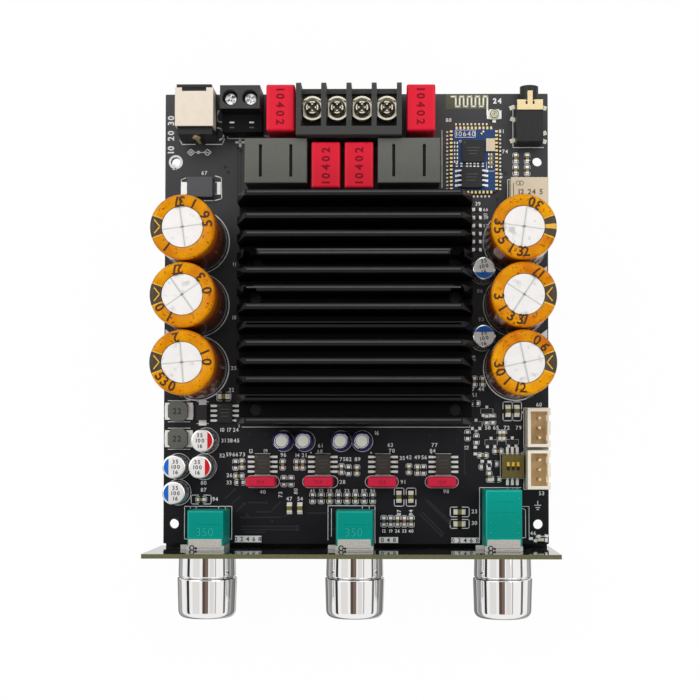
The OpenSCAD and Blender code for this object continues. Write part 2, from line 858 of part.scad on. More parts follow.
module power_jack_pin() {
    tip_short = 1;
    tail_w = 0.8;
    tail_t = 0.4;
    color([0.8, 0.72, 0.5]) {
        facing_rear(jack_x, jack_rear_y - jack_l - tail_t, jack_axis) {
            cylinder(d = jack_pin_d, h = jack_l + tail_t - tip_short - jack_pin_d / 2);
            translate([0, 0, jack_l + tail_t - tip_short - jack_pin_d / 2])
                sphere(d = jack_pin_d);
        }
        at_power_jack()
            translate([0, -jack_l - tail_t / 2, 0])
                block(tail_w, tail_t, jack_axis + jack_pin_d);
    }
}

// Children at each pole of the power terminal, origin at the rear face on the board
module at_power_poles() {
    for (side = [-1, 1])
        on_board(power_x + side * power_pitch / 2, rear_y - power_set_in)
            children();
}

module power_terminal_body() {
    lead_in = 0.4;
    slope = 0.4;
    slot_w = 1.2;
    slot_l = 0.4;
    slot_depth = 0.6;
    well_depth = power_h - entry_z - entry_h - entry_roof;
    color([0.2, 0.2, 0.2])
        difference() {
            on_board(power_x, rear_y - power_set_in)
                rotate([90, 0, 90])
                    linear_extrude(power_w, center = true)
                        polygon([
                            [-power_l, 0],
                            [0, 0],
                            [0, power_h - lead_in],
                            [-lead_in / 2, power_h],
                            [-power_top_l, power_h],
                            [-power_top_l - slope, power_step_h],
                            [-power_l, power_step_h - slope]
                        ]);
            at_power_poles() {
                translate([0, -power_screw_y, power_h - well_depth])
                    cylinder(d = power_well_d, h = well_depth + cut);
                translate([0, -power_screw_y, entry_z + entry_h - cut])
                    cylinder(d = power_shank_d + 4 * screw_clear, h = power_h);
                translate([-entry_w / 2, -entry_l, entry_z])
                    cube([entry_w, entry_l + cut, entry_h]);
                translate([0, -power_l * 0.78, 0])
                    block(slot_w, slot_l, power_step_h, power_step_h - slope - slot_depth);
            }
        }
}

module power_terminal_screws() {
    head_d = power_well_d - 0.6;
    head_h = 1.4;
    slot_w = 0.6;
    slot_depth = 0.8;
    well_floor = entry_z + entry_h + entry_roof;
    shank_l = entry_roof + cage_wall + 1;
    color([0.85, 0.85, 0.83])
        at_power_poles()
            translate([0, -power_screw_y, well_floor])
                difference() {
                    union() {
                        cylinder(d = head_d, h = head_h);
                        translate([0, 0, -shank_l])
                            cylinder(d = power_shank_d, h = shank_l + cut);
                    }
                    for (turn = [30, 120])
                        rotate([0, 0, turn])
                            block(slot_w, head_d * 0.8, slot_depth + cut, head_h - slot_depth);
                }
}

module power_terminal_cages() {
    cage_w = entry_w - 2 * fit_gap;
    cage_h = entry_h;
    cage_l = entry_l - cage_set_in - fit_gap;
    mouth_w = cage_w - 2 * cage_wall;
    mouth_h = cage_h - 2 * cage_wall;
    color([0.75, 0.75, 0.72])
        at_power_poles()
            difference() {
                translate([0, -cage_set_in - cage_l / 2, 0])
                    block(cage_w, cage_l, cage_h, entry_z);
                translate([0, -cage_set_in - cage_l / 2, 0])
                    block(mouth_w, cage_l + 2 * cut, mouth_h, entry_z + cage_wall);
                translate([0, -power_screw_y, entry_z + cage_h / 2])
                    cylinder(d = power_shank_d + 2 * screw_clear, h = cage_h);
            }
}

// Children at each pole of the speaker terminal, on the board, at the screw's axis
module at_speaker_poles() {
    for (i = [0:3])
        on_board(barrier_x + (i - 1.5) * barrier_pitch, barrier_rear_y - barrier_screw_y)
            children();
}

module speaker_terminal_body() {
    nose = 0.8;
    color([0.22, 0.21, 0.21])
        difference() {
            on_board(barrier_x, barrier_rear_y) {
                translate([0, -barrier_l / 2, 0])
                    block(barrier_w, barrier_l, barrier_floor);
                translate([0, -barrier_lip_t / 2, 0])
                    block(barrier_w, barrier_lip_t, barrier_floor + barrier_lip_h);
                translate([0, -barrier_l + barrier_wall_t / 2, 0])
                    block(barrier_w, barrier_wall_t, barrier_h);
                for (i = [-2:2])
                    translate([i * barrier_pitch, 0, 0])
                        rotate([90, 0, 90])
                            linear_extrude(divider_t, center = true)
                                polygon([
                                    [-barrier_l, 0],
                                    [0, 0],
                                    [0, barrier_h - nose],
                                    [-nose, barrier_h],
                                    [-barrier_l, barrier_h]
                                ]);
            }
            at_speaker_poles()
                translate([0, 0, barrier_floor - barrier_hole_l])
                    cylinder(d = barrier_shank_d + 2 * screw_clear, h = barrier_h);
        }
}

module speaker_terminal_screws() {
    head_h = 1.9;
    slot_w = 0.8;
    slot_depth = 0.9;
    head_z = barrier_floor + clamp_t;
    shank_l = 2.8;
    color([0.88, 0.87, 0.84])
        at_speaker_poles()
            translate([0, 0, head_z])
                difference() {
                    union() {
                        cylinder(d = barrier_screw_d, h = head_h - 0.5);
                        translate([0, 0, head_h - 0.5])
                            cylinder(d1 = barrier_screw_d, d2 = barrier_screw_d - 1, h = 0.5);
                        translate([0, 0, -shank_l])
                            cylinder(d = barrier_shank_d, h = shank_l);
                    }
                    for (turn = [45, 135])
                        rotate([0, 0, turn])
                            block(slot_w, barrier_screw_d * 0.72, slot_depth + cut, head_h - slot_depth);
                }
}

module speaker_terminal_plates() {
    plate_w = barrier_pitch - divider_t - 2 * fit_gap;
    plate_d = 6.2;
    ear_t = 0.5;
    ear_h = 1;
    ear_reach = 2;
    tab_w = 2;
    tab_t = 0.5;
    tab_h = 1.2;
    tab_y = 4.8;
    color([0.88, 0.86, 0.8])
        at_speaker_poles()
            translate([0, 0, barrier_floor]) {
                linear_extrude(clamp_t)
                    difference() {
                        intersection() {
                            circle(d = plate_d);
                            square([plate_w, plate_d], center = true);
                        }
                        circle(d = barrier_shank_d + 2 * screw_clear);
                    }
                translate([0, 0, clamp_t])
                    linear_extrude(ear_h)
                        intersection() {
                            difference() {
                                circle(d = plate_d);
                                circle(d = plate_d - 2 * ear_t);
                                square([plate_d, 2 * ear_reach], center = true);
                            }
                            square([plate_w, plate_d], center = true);
                        }
                translate([0, -tab_y, 0])
                    block(tab_w, tab_t, tab_h);
            }
}

module film_capacitors() {
    color([0.94, 0.18, 0.25])
        for (place = film_places)
            on_board(place[0], place[1])
                moulded_block(film_w, film_l, film_h, film_r);
}

module output_inductors() {
    edge_r = 0.35;
    groove_w = 0.8;
    groove_l = coil_l * 0.72;
    groove_depth = 1;
    groove_x = 3.85;
    color([0.43, 0.43, 0.4])
        for (x = coil_x)
            on_board(x, coil_y)
                difference() {
                    moulded_block(coil_w, coil_l, coil_h, edge_r);
                    for (side = [-1, 1])
                        translate([side * groove_x, 0, 0])
                            block(groove_w, groove_l, coil_h, coil_h - groove_depth);
                }
}

// Profile of a bulk capacitor's can with its crimp groove, from the axis outwards
module can_section(r, h) {
    groove_z = 3;
    groove_r = 0.7;
    edge = 0.6;
    difference() {
        polygon([[0, 0], [r, 0], [r, h - edge], [r - edge, h], [0, h]]);
        translate([r + groove_r / 2, groove_z])
            circle(r = groove_r);
    }
}

module bulk_capacitor_cans() {
    can_r = bulk_d / 2 - bulk_sleeve_t - fit_gap / 2;
    color([0.88, 0.88, 0.87])
        for (i = [0:5])
            on_board(bulk_x[i], bulk_y[i])
                rotate_extrude()
                    can_section(can_r, bulk_h - bulk_sleeve_t - fit_gap / 2);
}

module bulk_sleeve(i) {
    edge = 0.9;
    r = bulk_d / 2;
    h = bulk_h;
    wall = bulk_sleeve_t;
    color([0.95, 0.57, 0.05])
        on_board(bulk_x[i], bulk_y[i])
            rotate_extrude()
                polygon([
                    [r, 0],
                    [r, h - edge],
                    [r - edge, h],
                    [r - bulk_rim_w, h],
                    [r - bulk_rim_w, h - wall],
                    [r - wall - edge * 0.6, h - wall],
                    [r - wall, h - wall - edge * 0.6],
                    [r - wall, 0]
                ]);
}

module small_can_tops() {
    edge = 0.5;
    waist_z = 1.1;
    waist = 0.25;
    r = can_d / 2;
    h = can_h - can_base_h;
    color([0.9, 0.9, 0.9])
        for (place = can_places)
            on_board(place[0], place[1])
                translate([0, 0, can_base_h])
                    rotate_extrude()
                        polygon([
                            [0, 0],
                            [r, 0],
                            [r, waist_z - waist],
                            [r - waist, waist_z],
                            [r, waist_z + waist],
                            [r, h - edge],
                            [r - edge, h],
                            [0, h]
                        ]);
}

module small_can_bases() {
    color([0.12, 0.12, 0.12])
        for (place = can_places)
            on_board(place[0], place[1], place[2])
                cylinder(d = can_base_w, h = can_base_h);
}

module radial_capacitors() {
    edge = 0.45;
    r = radial_d / 2;
    color([0.1, 0.12, 0.3])
        for (x = radial_x)
            on_board(x, radial_y)
                rotate_extrude()
                    polygon([[0, 0], [r, 0], [r, radial_h - edge], [r - edge, radial_h], [0, radial_h]]);
}

module tone_capacitors() {
    edge_r = 0.5;
    color([0.85, 0.15, 0.28])
        for (x = tone_x)
            on_board(x, tone_y)
                moulded_block(tone_w, tone_t, tone_h, edge_r);
}

// A two-lead power diode lying along X
module power_diode(w, l, h, span, strap_w) {
    strap_t = 0.25;
    block(w, l, h - strap_t, strap_t);
    block(span, strap_w, strap_t);
}

// A three-lead transistor with two leads at the front and one at the rear
module small_transistor() {
    body_w = 2.9;
    body_l = 1.3;
    body_h = 1;
    lead_w = 0.45;
    lead_t = 0.15;
    lead_reach = 0.55;
    block(body_w, body_l, body_h - lead_t, lead_t);
    for (x = [-0.95, 0.95])
        translate([x, -(body_l + lead_reach) / 2, 0])
            block(lead_w, lead_reach, lead_t);
    for (x = [-0.95, 0.95])
        translate([x, -body_l / 2 + lead_reach / 2, 0])
            block(lead_w, lead_reach, lead_t);
    translate([0, (body_l + lead_reach) / 2, 0])
        block(lead_w, lead_reach, lead_t);
    translate([0, body_l / 2 - lead_reach / 2, 0])
        block(lead_w, lead_reach, lead_t);
}

module small_outline_chips() {
    soic_pitch = 1.27;
    lead_w = 0.42;
    diode_w = 6.6;
    diode_l = 5.2;
    diode_h = 2.3;
    diode_span = 8.4;
    diode_strap_w = 3;
    diode_gap = 3.5;
    small_w = 3.9;
    small_l = 2.6;
    small_span = 5.2;
    color([0.13, 0.13, 0.14]) {
        for (x = opamp_x)
            on_board(x, front_y + opamp_front)
                leaded_chip(soic_w, soic_l, soic_h, soic_span, 4, soic_pitch, lead_w);
        on_board(converter_place[0], converter_place[1])
            leaded_chip(soic_w, soic_l, soic_h, soic_span, 4, soic_pitch, lead_w);
        on_board(from_left(93.5), bulk_rear_y + diode_gap + diode_l / 2)
            power_diode(diode_w, diode_l, diode_h, diode_span, diode_strap_w);
        on_board(from_left(101), from_front(340), 90)
            power_diode(small_w, small_l, diode_h, small_span, diode_strap_w / 2);
        for (place = transistor_places)
            on_board(place[0], place[1])
                small_transistor();
    }
}

module supply_inductors() {
    coil_w = 5;
    corner = 1;
    core_h = 2.8;
    pad_w = 7.2;
    pad_l = 4.4;
    pad_h = 0.4;
    color([0.2, 0.2, 0.21])
        for (y = supply_coil_y)
            on_board(supply_coil_x, y) {
                translate([0, 0, pad_h])
                    linear_extrude(core_h - pad_h)
                        intersection() {
                            square(coil_w, center = true);
                            rotate([0, 0, 45])
                                square((coil_w - corner) * sqrt(2), center = true);
                        }
                block(pad_w, pad_l, pad_h);
            }
}

// Children in the frame of the wireless module, origin at its middle on the board
module at_radio() {
    on_board(radio_x, radio_y)
        children();
}

module radio_board() {
    notch_d = 0.6;
    notch_pitch = 1;
    side_count = 15;
    end_count = 9;
    color([0.12, 0.3, 0.56])
        at_radio()
            difference() {
                block(radio_w, radio_l, radio_t);
                for (sx = [-1, 1], i = [0:side_count - 1])
                    translate([sx * radio_w / 2, (i - (side_count - 1) / 2) * notch_pitch, -cut])
                        cylinder(d = notch_d, h = radio_t + 2 * cut, $fn = 16);
                for (i = [0:end_count - 1])
                    translate([(i - (end_count - 1) / 2) * notch_pitch, -radio_l / 2, -cut])
                        cylinder(d = notch_d, h = radio_t + 2 * cut, $fn = 16);
            }
}

module radio_chips() {
    memory_pitch = 1.27;
    memory_lead_w = 0.42;
    memory_h = 1.7;
    processor_h = 0.9;
    crystal_h = 0.8;
    color([0.1, 0.1, 0.11])
        at_radio()
            translate([0, 0, radio_t]) {
                translate([across(-2), across(22), 0])
                    block(processor_w, processor_w, processor_h);
                translate([across(-6), across(-48), 0])
                    leaded_chip(memory_w, memory_w, memory_h, memory_span, 4, memory_pitch, memory_lead_w);
                translate([across(43), across(38), 0])
                    block(crystal_w, crystal_l, crystal_h);
                for (i = [0:2])
                    translate([across(45), across(-12 + 10 * i), 0])
                        block(chip_l * 0.75, chip_w * 0.75, resistor_h);
            }
}

module antenna_socket() {
    socket_w = 2.6;
    socket_h = 0.6;
    barrel_d = 2;
    barrel_h = 1.3;
    post_d = 0.6;
    color([0.85, 0.75, 0.5])
        on_board(radio_x + across(53.5), from_rear(55)) {
            block(socket_w, socket_w, socket_h);
            difference() {
                cylinder(d = barrel_d, h = barrel_h);
                translate([0, 0, socket_h])
                    cylinder(d = barrel_d - 0.5, h = barrel_h);
            }
            cylinder(d = post_d, h = barrel_h);
        }
}

module audio_jack_housing() {
    color([0.08, 0.08, 0.09])
        difference() {
            union() {
                on_board(audio_x, audio_rear_y - audio_l / 2)
                    block(audio_w, audio_l, audio_h);
                facing_rear(audio_x, audio_rear_y, audio_axis)
                    cylinder(d = audio_nose_d, h = audio_set_in + audio_nose_l);
            }
            facing_rear(audio_x, rear_y + audio_nose_l - audio_bore_l, audio_axis)
                cylinder(d = audio_bore_d, h = audio_bore_l + cut);
        }
}

module audio_jack_bracket() {
    tongue_w = 1.3;
    tongue_l = 2.3;
    notch_w = 0.5;
    notch_l = 1.2;
    notch_x = (tongue_w + notch_w) / 2;
    color([0.85, 0.78, 0.55])
        on_board(audio_x, audio_rear_y)
            difference() {
                union() {
                    translate([0, bracket_t - bracket_l / 2, 0])
                        block(audio_w - 2 * fit_gap, bracket_l, bracket_t, audio_h);
                    translate([0, bracket_t / 2, 0])
                        block(audio_w - 2 * fit_gap, bracket_t, audio_h);
                    translate([0, bracket_t + tongue_l / 2, 0])
                        block(tongue_w, tongue_l, bracket_t, audio_h);
                }
                for (side = [-1, 1])
                    translate([side * notch_x, bracket_t, 0])
                        block(notch_w, 2 * notch_l, audio_h, audio_h - cut);
                translate([0, -cut, audio_axis])
                    rotate([-90, 0, 0])
                        cylinder(d = audio_nose_d + 2 * screw_clear, h = bracket_t + 2 * cut);
            }
}

module relay() {
    edge_r = 0.3;
    color([0.9, 0.85, 0.76])
        on_board(audio_x + across(-1.75), bulk_rear_y + relay_gap + relay_l / 2)
            moulded_block(relay_w, relay_l, relay_h, edge_r);
}

module line_headers() {
    key_w = 1.6;
    key_gap = 5;
    key_depth = 4;
    color([0.92, 0.86, 0.74])
        for (y = header_y)
            on_board(header_x, y)
                difference() {
                    block(header_w, header_l, header_h);
                    block(header_w - 2 * header_wall, header_l - 2 * header_wall, header_h, header_floor);
                    for (side = [-1, 1])
                        translate([header_w / 2, side * key_gap / 2, 0])
                            block(4 * header_wall, key_w, key_depth + cut, header_h - key_depth);
                    for (i = [-1:1])
                        translate([header_pin_x, i * header_pin_pitch, -cut])
                            block(header_pin_t + fit_gap, header_pin_t + fit_gap, header_h);
                }
}

module header_pins() {
    pin_h = 6;
    color([0.85, 0.8, 0.6])
        for (y = header_y, i = [-1:1])
            on_board(header_x + header_pin_x, y + i * header_pin_pitch)
                block(header_pin_t, header_pin_t, pin_h);
}

module slide_switch_body() {
    pocket_w = slider_w + 2 * slider_gap;
    pocket_l = slider_l + slider_travel + 2 * slider_gap;
    lead_w = 0.5;
    lead_t = 0.2;
    lead_reach = 1.4;
    color([0.35, 0.29, 0.14])
        on_board(switch_x, switch_y) {
            difference() {
                block(switch_w, switch_l, switch_h - lead_t, lead_t);
                for (i = [-1:1])
                    translate([i * slider_pitch, 0, 0])
                        block(pocket_w, pocket_l, switch_h, switch_h - slider_pocket);
            }
            for (i = [-1:1])
                translate([i * slider_pitch, 0, 0])
                    block(lead_w, switch_l + 2 * lead_reach, lead_t);
        }
}

module switch_slider(i) {
    bottom = switch_h - slider_pocket + slider_gap;
    color([0.85, 0.7, 0.2])
        on_board(switch_x + (i - 2) * slider_pitch, switch_y + slider_travel / 2)
            block(slider_w, slider_l, slider_pocket - slider_gap + slider_stand, bottom);
}

// Case of control i with the pocket for the shaft's inner end
module control_case(i) {
    pocket_gap = 0.3;
    shoulder = 0.25;
    shoulder_h = control_h - 1.6;
    l = control_lengths[i];
    color([0, 0.59, 0.53])
        difference() {
            translate([control_x[i], case_front_y + l / 2, board_t])
                rotate([90, 0, 0])
                    linear_extrude(l, center = true)
                        polygon([
                            [-control_w / 2, 0],
                            [control_w / 2, 0],
                            [control_w / 2, shoulder_h],
                            [control_w / 2 - shoulder, control_h],
                            [-control_w / 2 + shoulder, control_h],
                            [-control_w / 2, shoulder_h]
                        ]);
            on_shaft(i, case_front_y + shaft_inner_l + pocket_gap)
                cylinder(d = shaft_d + 2 * pocket_gap, h = shaft_inner_l + pocket_gap + cut);
        }
}

// Metal front plates with their bushings, one to each control
module control_bushings() {
    flange_t = 0.4;
    plate_h = control_h + flange_t;
    lug_d = 1.2;
    color([0.8, 0.77, 0.7])
        for (i = [0:2])
            difference() {
                union() {
                    translate([control_x[i], panel_back_y + control_plate_t / 2, board_t])
                        block(control_w, control_plate_t, plate_h);
                    translate([control_x[i], case_front_y + control_flange_l / 2, board_t])
                        block(control_w - 1.2, control_flange_l, flange_t, control_h);
                    on_shaft(i, panel_back_y)
                        cylinder(d = bushing_d, h = bushing_l);
                    translate([control_x[i] - lug_x + 1, panel_back_y + control_plate_t / 2, board_t])
                        block(lug_d + 2, control_plate_t, lug_d, control_axis - lug_d / 2);
                    on_shaft(i, panel_back_y)
                        translate([-lug_x, 0, 0])
                            cylinder(d = lug_d, h = panel_t * 0.8);
                }
                on_shaft(i, case_front_y + cut)
                    cylinder(d = shaft_bore_d, h = control_plate_t + bushing_l + 2 * cut);
            }
}

module control_nuts() {
    color("silver")
        for (i = [0:2])
            on_shaft(i, panel_front_y)
                difference() {
                    cylinder(d = nut_corner_d, h = nut_t, $fn = 6);
                    translate([0, 0, -cut])
                        cylinder(d = bushing_d + 2 * screw_clear, h = nut_t + 2 * cut);
                }
}

// Shaft of control i: round in its bushing, with a flat where the knob grips it
module control_shaft(i) {
    length = case_front_y + shaft_inner_l - shaft_end_y;
    flat_l = knob_l - shaft_tip_gap - hub_back + fit_gap;
    color([0.82, 0.82, 0.8])
        on_shaft(i, case_front_y + shaft_inner_l)
            difference() {
                cylinder(d = shaft_d, h = length);
                translate([-shaft_d / 2, shaft_d / 2 - shaft_flat, length - flat_l])
                    cube([shaft_d, shaft_d, flat_l + cut]);
            }
}

// Half section of a knob, from its back face towards the front
module knob_section() {
    groove = 0.35;
    edge = knob_edge_r;
    front_r = knob_front_d / 2;
    difference() {
        union() {
            polygon([
                [0, 0],
                [knob_back_d / 2 - groove, 0],
                [knob_back_d / 2, knob_back_l - groove],
                [knob_back_d / 2 - groove, knob_back_l],
                [knob_d / 2, knob_back_l + groove],
                [front_r, knob_l - edge],
                [0, knob_l - edge]
            ]);
            translate([0, knob_l - edge])
                square([front_r - edge, edge]);
            intersection() {
                translate([front_r - edge, knob_l - edge])
                    circle(r = edge);
                translate([0, knob_l - 2 * edge])
                    square([front_r, 2 * edge]);
            }
        }
        translate([0, -cut])
            square([knob_hollow_d / 2, knob_hollow_l + cut]);
    }
}

module control_knob(i) {
    bore_l = knob_back_y - shaft_end_y + fit_gap;
    hub_d = 9;
    flat_y = shaft_d / 2 - shaft_flat + fit_gap / 2;
    color([0.9, 0.9, 0.92])
        on_shaft(i, knob_back_y)
            difference() {
                union() {
                    rotate_extrude()
                        knob_section();
                    translate([0, 0, hub_back])
                        cylinder(d = hub_d, h = knob_hollow_l - hub_back + cut);
                }
                translate([0, 0, -cut])
                    intersection() {
                        cylinder(d = shaft_bore_d, h = bore_l + cut);
                        translate([-knob_d / 2, flat_y - knob_d, 0])
                            cube([knob_d, knob_d, bore_l + cut]);
                    }
            }
}

module power_lamp() {
    color([0.9, 0.95, 0.85])
        on_board(from_right(21), from_front(12))
            block(chip_l, chip_w, ceramic_h);
}

module chip_resistors() {
    color([0.12, 0.12, 0.13]) {
        for (i = [0:7])
            chip_resistor(across(-112 + 22.3 * i), from_front(118.5));
        for (i = [0:4])
            chip_resistor(across(73 + 17.7 * i), from_front(58.5));
        for (x = [-187, -168])
            chip_resistor(across(x), from_front(162));
        for (i = [0:5])
            chip_resistor(hs_w / 2 + across(17), hs_rear_y - across(121 - 21 * i), 0);
        for (i = [0:2])
            chip_resistor(from_right(190 - 18 * i), from_front(242 - 19 * i));
    }
}

module chip_capacitors() {
    color([0.72, 0.62, 0.42]) {
        for (x = [-172, -145])
            big_chip(across(x), from_front(92));
        for (x = [-190, -154, -138])
            chip_capacitor(across(x), from_front(205));
        for (x = [112, 143])
            big_chip(across(x), from_front(122));
        for (y = [83, 52])
            big_chip(control_x[2] - across(106), from_front(y), 0);
        for (x = [105, 82])
            big_chip(from_right(x), from_front(345));
        big_chip(from_left(156), from_front(382), 0);
        for (x = [84, 54])
            chip_capacitor(from_right(x), from_rear(170));
    }
}

main_board();
front_panel();
heatsink();
heatsink_screws();
heatsink_spacers();
amplifier_chip();
thermal_pad();
power_jack_housing();
power_jack_shield();
power_jack_pin();
power_terminal_body();
power_terminal_screws();
power_terminal_cages();
speaker_terminal_body();
speaker_terminal_screws();
speaker_terminal_plates();
film_capacitors();
output_inductors();
bulk_capacitor_cans();
bulk_sleeve(0);  // bulk_sleeve_1
bulk_sleeve(1);  // bulk_sleeve_2
bulk_sleeve(2);  // bulk_sleeve_3
bulk_sleeve(3);  // bulk_sleeve_4
bulk_sleeve(4);  // bulk_sleeve_5
bulk_sleeve(5);  // bulk_sleeve_6
small_can_tops();
small_can_bases();
radial_capacitors();
tone_capacitors();
small_outline_chips();
supply_inductors();
radio_board();
radio_chips();
antenna_socket();
audio_jack_housing();
audio_jack_bracket();
relay();
line_headers();
header_pins();
slide_switch_body();
switch_slider(1);  // switch_slider_1
switch_slider(2);  // switch_slider_2
switch_slider(3);  // switch_slider_3
control_case(0);  // treble_control
control_case(1);  // bass_control
control_case(2);  // volume_control
control_bushings();
control_nuts();
control_shaft(0);  // treble_shaft
control_shaft(1);  // bass_shaft
control_shaft(2);  // volume_shaft
control_knob(0);  // treble_knob
control_knob(1);  // bass_knob
control_knob(2);  // volume_knob
power_lamp();
chip_resistors();
chip_capacitors();
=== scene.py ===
import math

import bmesh
import bpy
from mathutils import Euler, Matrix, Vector


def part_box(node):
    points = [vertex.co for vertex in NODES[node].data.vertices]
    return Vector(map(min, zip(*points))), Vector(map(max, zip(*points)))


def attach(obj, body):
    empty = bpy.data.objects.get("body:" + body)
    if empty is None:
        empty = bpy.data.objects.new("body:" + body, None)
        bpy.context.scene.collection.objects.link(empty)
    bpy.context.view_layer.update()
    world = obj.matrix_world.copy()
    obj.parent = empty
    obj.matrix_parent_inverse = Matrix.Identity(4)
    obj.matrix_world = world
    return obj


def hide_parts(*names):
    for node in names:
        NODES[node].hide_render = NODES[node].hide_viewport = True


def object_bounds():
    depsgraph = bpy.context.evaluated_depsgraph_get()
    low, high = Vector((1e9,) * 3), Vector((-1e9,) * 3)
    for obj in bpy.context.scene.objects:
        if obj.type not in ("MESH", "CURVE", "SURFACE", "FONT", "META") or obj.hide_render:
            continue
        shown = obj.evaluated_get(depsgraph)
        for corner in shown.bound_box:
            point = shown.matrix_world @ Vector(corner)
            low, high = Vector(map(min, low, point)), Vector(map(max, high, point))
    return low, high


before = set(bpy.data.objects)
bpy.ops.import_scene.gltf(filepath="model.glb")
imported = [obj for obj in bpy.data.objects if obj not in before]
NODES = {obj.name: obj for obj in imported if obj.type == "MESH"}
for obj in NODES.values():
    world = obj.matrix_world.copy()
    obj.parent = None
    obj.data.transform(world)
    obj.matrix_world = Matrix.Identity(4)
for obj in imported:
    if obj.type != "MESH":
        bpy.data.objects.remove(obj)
CAD_BOX = [list(corner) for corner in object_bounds()]

# Lengths below are in millimetres, in the frame's axes
MM = 0.001
BOARD = "board"
KNOBS = ("treble", "bass", "volume")
SIDES = (-1, 1)
INK_LIFT = 0.015
PAD_LIFT = 0.02
SHARP_ANGLE = 38


def node_box(name):
    low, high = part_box(name)
    return low / MM, high / MM


def node_middle(name):
    low, high = node_box(name)
    return (low + high) / 2


def node_top(name):
    return node_box(name)[1].z


FRONT = node_box("main_board")[0].y
REAR = node_box("main_board")[1].y
TOP = node_top("main_board")


def put_in_scene(name, data):
    thing = bpy.data.objects.new(name, data)
    bpy.context.scene.collection.objects.link(thing)
    return thing


def on_circle(x, y, radius, angle):
    """Point on a circle, with the angle in degrees."""
    return x + radius * math.cos(math.radians(angle)), y + radius * math.sin(math.radians(angle))


def spaced(start, end, steps):
    """Evenly spaced values from start to end, both included."""
    return [start + (end - start) * i / steps for i in range(steps + 1)]


# Camera at the photograph's viewpoint

CAMERA_PLACE = (11.07, -26.98, 352.12)
CAMERA_TURN = (1.628, 0.761, 0.055)
CAMERA_LENS = 69.38
CAMERA_SENSOR = 36
CAMERA_SHIFT = (-0.0436, 0.0823)


def add_camera():
    data = bpy.data.cameras.new("camera")
    data.lens = CAMERA_LENS
    data.sensor_width = CAMERA_SENSOR
    data.sensor_fit = "HORIZONTAL"
    data.shift_x, data.shift_y = CAMERA_SHIFT
    data.clip_start = 0.01
    camera = put_in_scene("camera", data)
    camera.location = Vector(CAMERA_PLACE) * MM
    camera.rotation_euler = Euler([math.radians(a) for a in CAMERA_TURN], "XYZ")
    bpy.context.scene.camera = camera


# Node trees and shared shader groups

class Graph:
    """Adds nodes to a node tree. An input takes a plain value or another node's output."""

    def __init__(self, tree):
        self.tree = tree

    def set(self, socket, value):
        if isinstance(value, bpy.types.NodeSocket):
            self.tree.links.new(value, socket)
        else:
            socket.default_value = value

    def add(self, kind, inputs=None, **settings):
        node = self.tree.nodes.new(kind)
        for label, value in settings.items():
            setattr(node, label, value)
        for label, value in (inputs or {}).items():
            self.set(node.inputs[label], value)
        return node

    def math(self, operation, a, b=0.0):
        return self.add("ShaderNodeMath", {0: a, 1: b}, operation=operation).outputs[0]

    def vector(self, x, y, z):
        return self.add("ShaderNodeCombineXYZ", {0: x, 1: y, 2: z}).outputs[0]

    def mix(self, share, a, b):
        node = self.add("ShaderNodeMix", {"Factor": share, "A": a, "B": b}, data_type="RGBA")
        return node.outputs["Result"]

    def range(self, value, low, high, to_low=0.0, to_high=1.0):
        return self.add("ShaderNodeMapRange", {
            "Value": value, "From Min": low, "From Max": high, "To Min": to_low, "To Max": to_high,
        }).outputs["Result"]

    def place(self):
        return self.add("ShaderNodeTexCoord").outputs["Object"]

    def axes(self):
        return self.add("ShaderNodeSeparateXYZ", {0: self.place()}).outputs

    def end(self, **results):
        for label, value in results.items():
            self.tree.links.new(value, self.result[label])
        return self.tree


def new_graph(kind, name, inputs, outputs):
    """A node group with sockets (label, sort); given holds its inputs, result the inputs of its end."""
    graph = Graph(bpy.data.node_groups.new(name, kind))
    for side, sockets in (("INPUT", inputs), ("OUTPUT", outputs)):
        for label, sort in sockets:
            graph.tree.interface.new_socket(label, in_out=side, socket_type="NodeSocket" + sort)
    graph.given = graph.add("NodeGroupInput").outputs
    graph.result = graph.add("NodeGroupOutput").inputs
    return graph


def make_mottle():
    """Two colours mixed by a soft noise, with a roughness and a height that follow it."""
    graph = new_graph(
        "ShaderNodeTree", "mottle",
        [("Color", "Color"), ("Second Color", "Color"), ("Scale", "Float"), ("Roughness", "Float"),
         ("Roughness Spread", "Float")],
        [("Color", "Color"), ("Roughness", "Float"), ("Height", "Float")],
    )
    given = graph.given
    noise = graph.add("ShaderNodeTexNoise", {"Vector": graph.place(), "Scale": given["Scale"], "Detail": 4})
    noise = noise.outputs["Fac"]
    spread = graph.math("MULTIPLY", graph.math("SUBTRACT", noise, 0.5), given["Roughness Spread"])
    return graph.end(Color=graph.mix(noise, given["Color"], given["Second Color"]),
                     Roughness=graph.math("ADD", spread, given["Roughness"]), Height=noise)


EDGE_GAIN = 4.0


def make_soft_edges():
    """A mask that is 1 on sharp edges, and a normal that rounds them."""
    graph = new_graph("ShaderNodeTree", "soft_edges", [("Radius", "Float")],
                      [("Mask", "Float"), ("Normal", "Vector")])
    rounded = graph.add("ShaderNodeBevel", {"Radius": graph.given["Radius"]}, samples=6).outputs["Normal"]
    surface = graph.add("ShaderNodeNewGeometry").outputs["Normal"]
    dot = graph.add("ShaderNodeVectorMath", {0: rounded, 1: surface}, operation="DOT_PRODUCT")
    mask = graph.math("MULTIPLY", graph.math("SUBTRACT", 1.0, dot.outputs["Value"]), EDGE_GAIN)
    mask.node.use_clamp = True
    return graph.end(Mask=mask, Normal=rounded)


def make_drawn_grain():
    """Fine lines along one axis, as on drawn, brushed or extruded metal."""
    graph = new_graph("ShaderNodeTree", "drawn_grain", [("Stretch", "Vector")], [("Value", "Float")])
    stretched = graph.add("ShaderNodeVectorMath", {0: graph.place(), 1: graph.given["Stretch"]},
                          operation="MULTIPLY").outputs["Vector"]
    noise = graph.add("ShaderNodeTexNoise", {"Vector": stretched, "Scale": 1.0, "Detail": 3})
    return graph.end(Value=noise.outputs["Fac"])


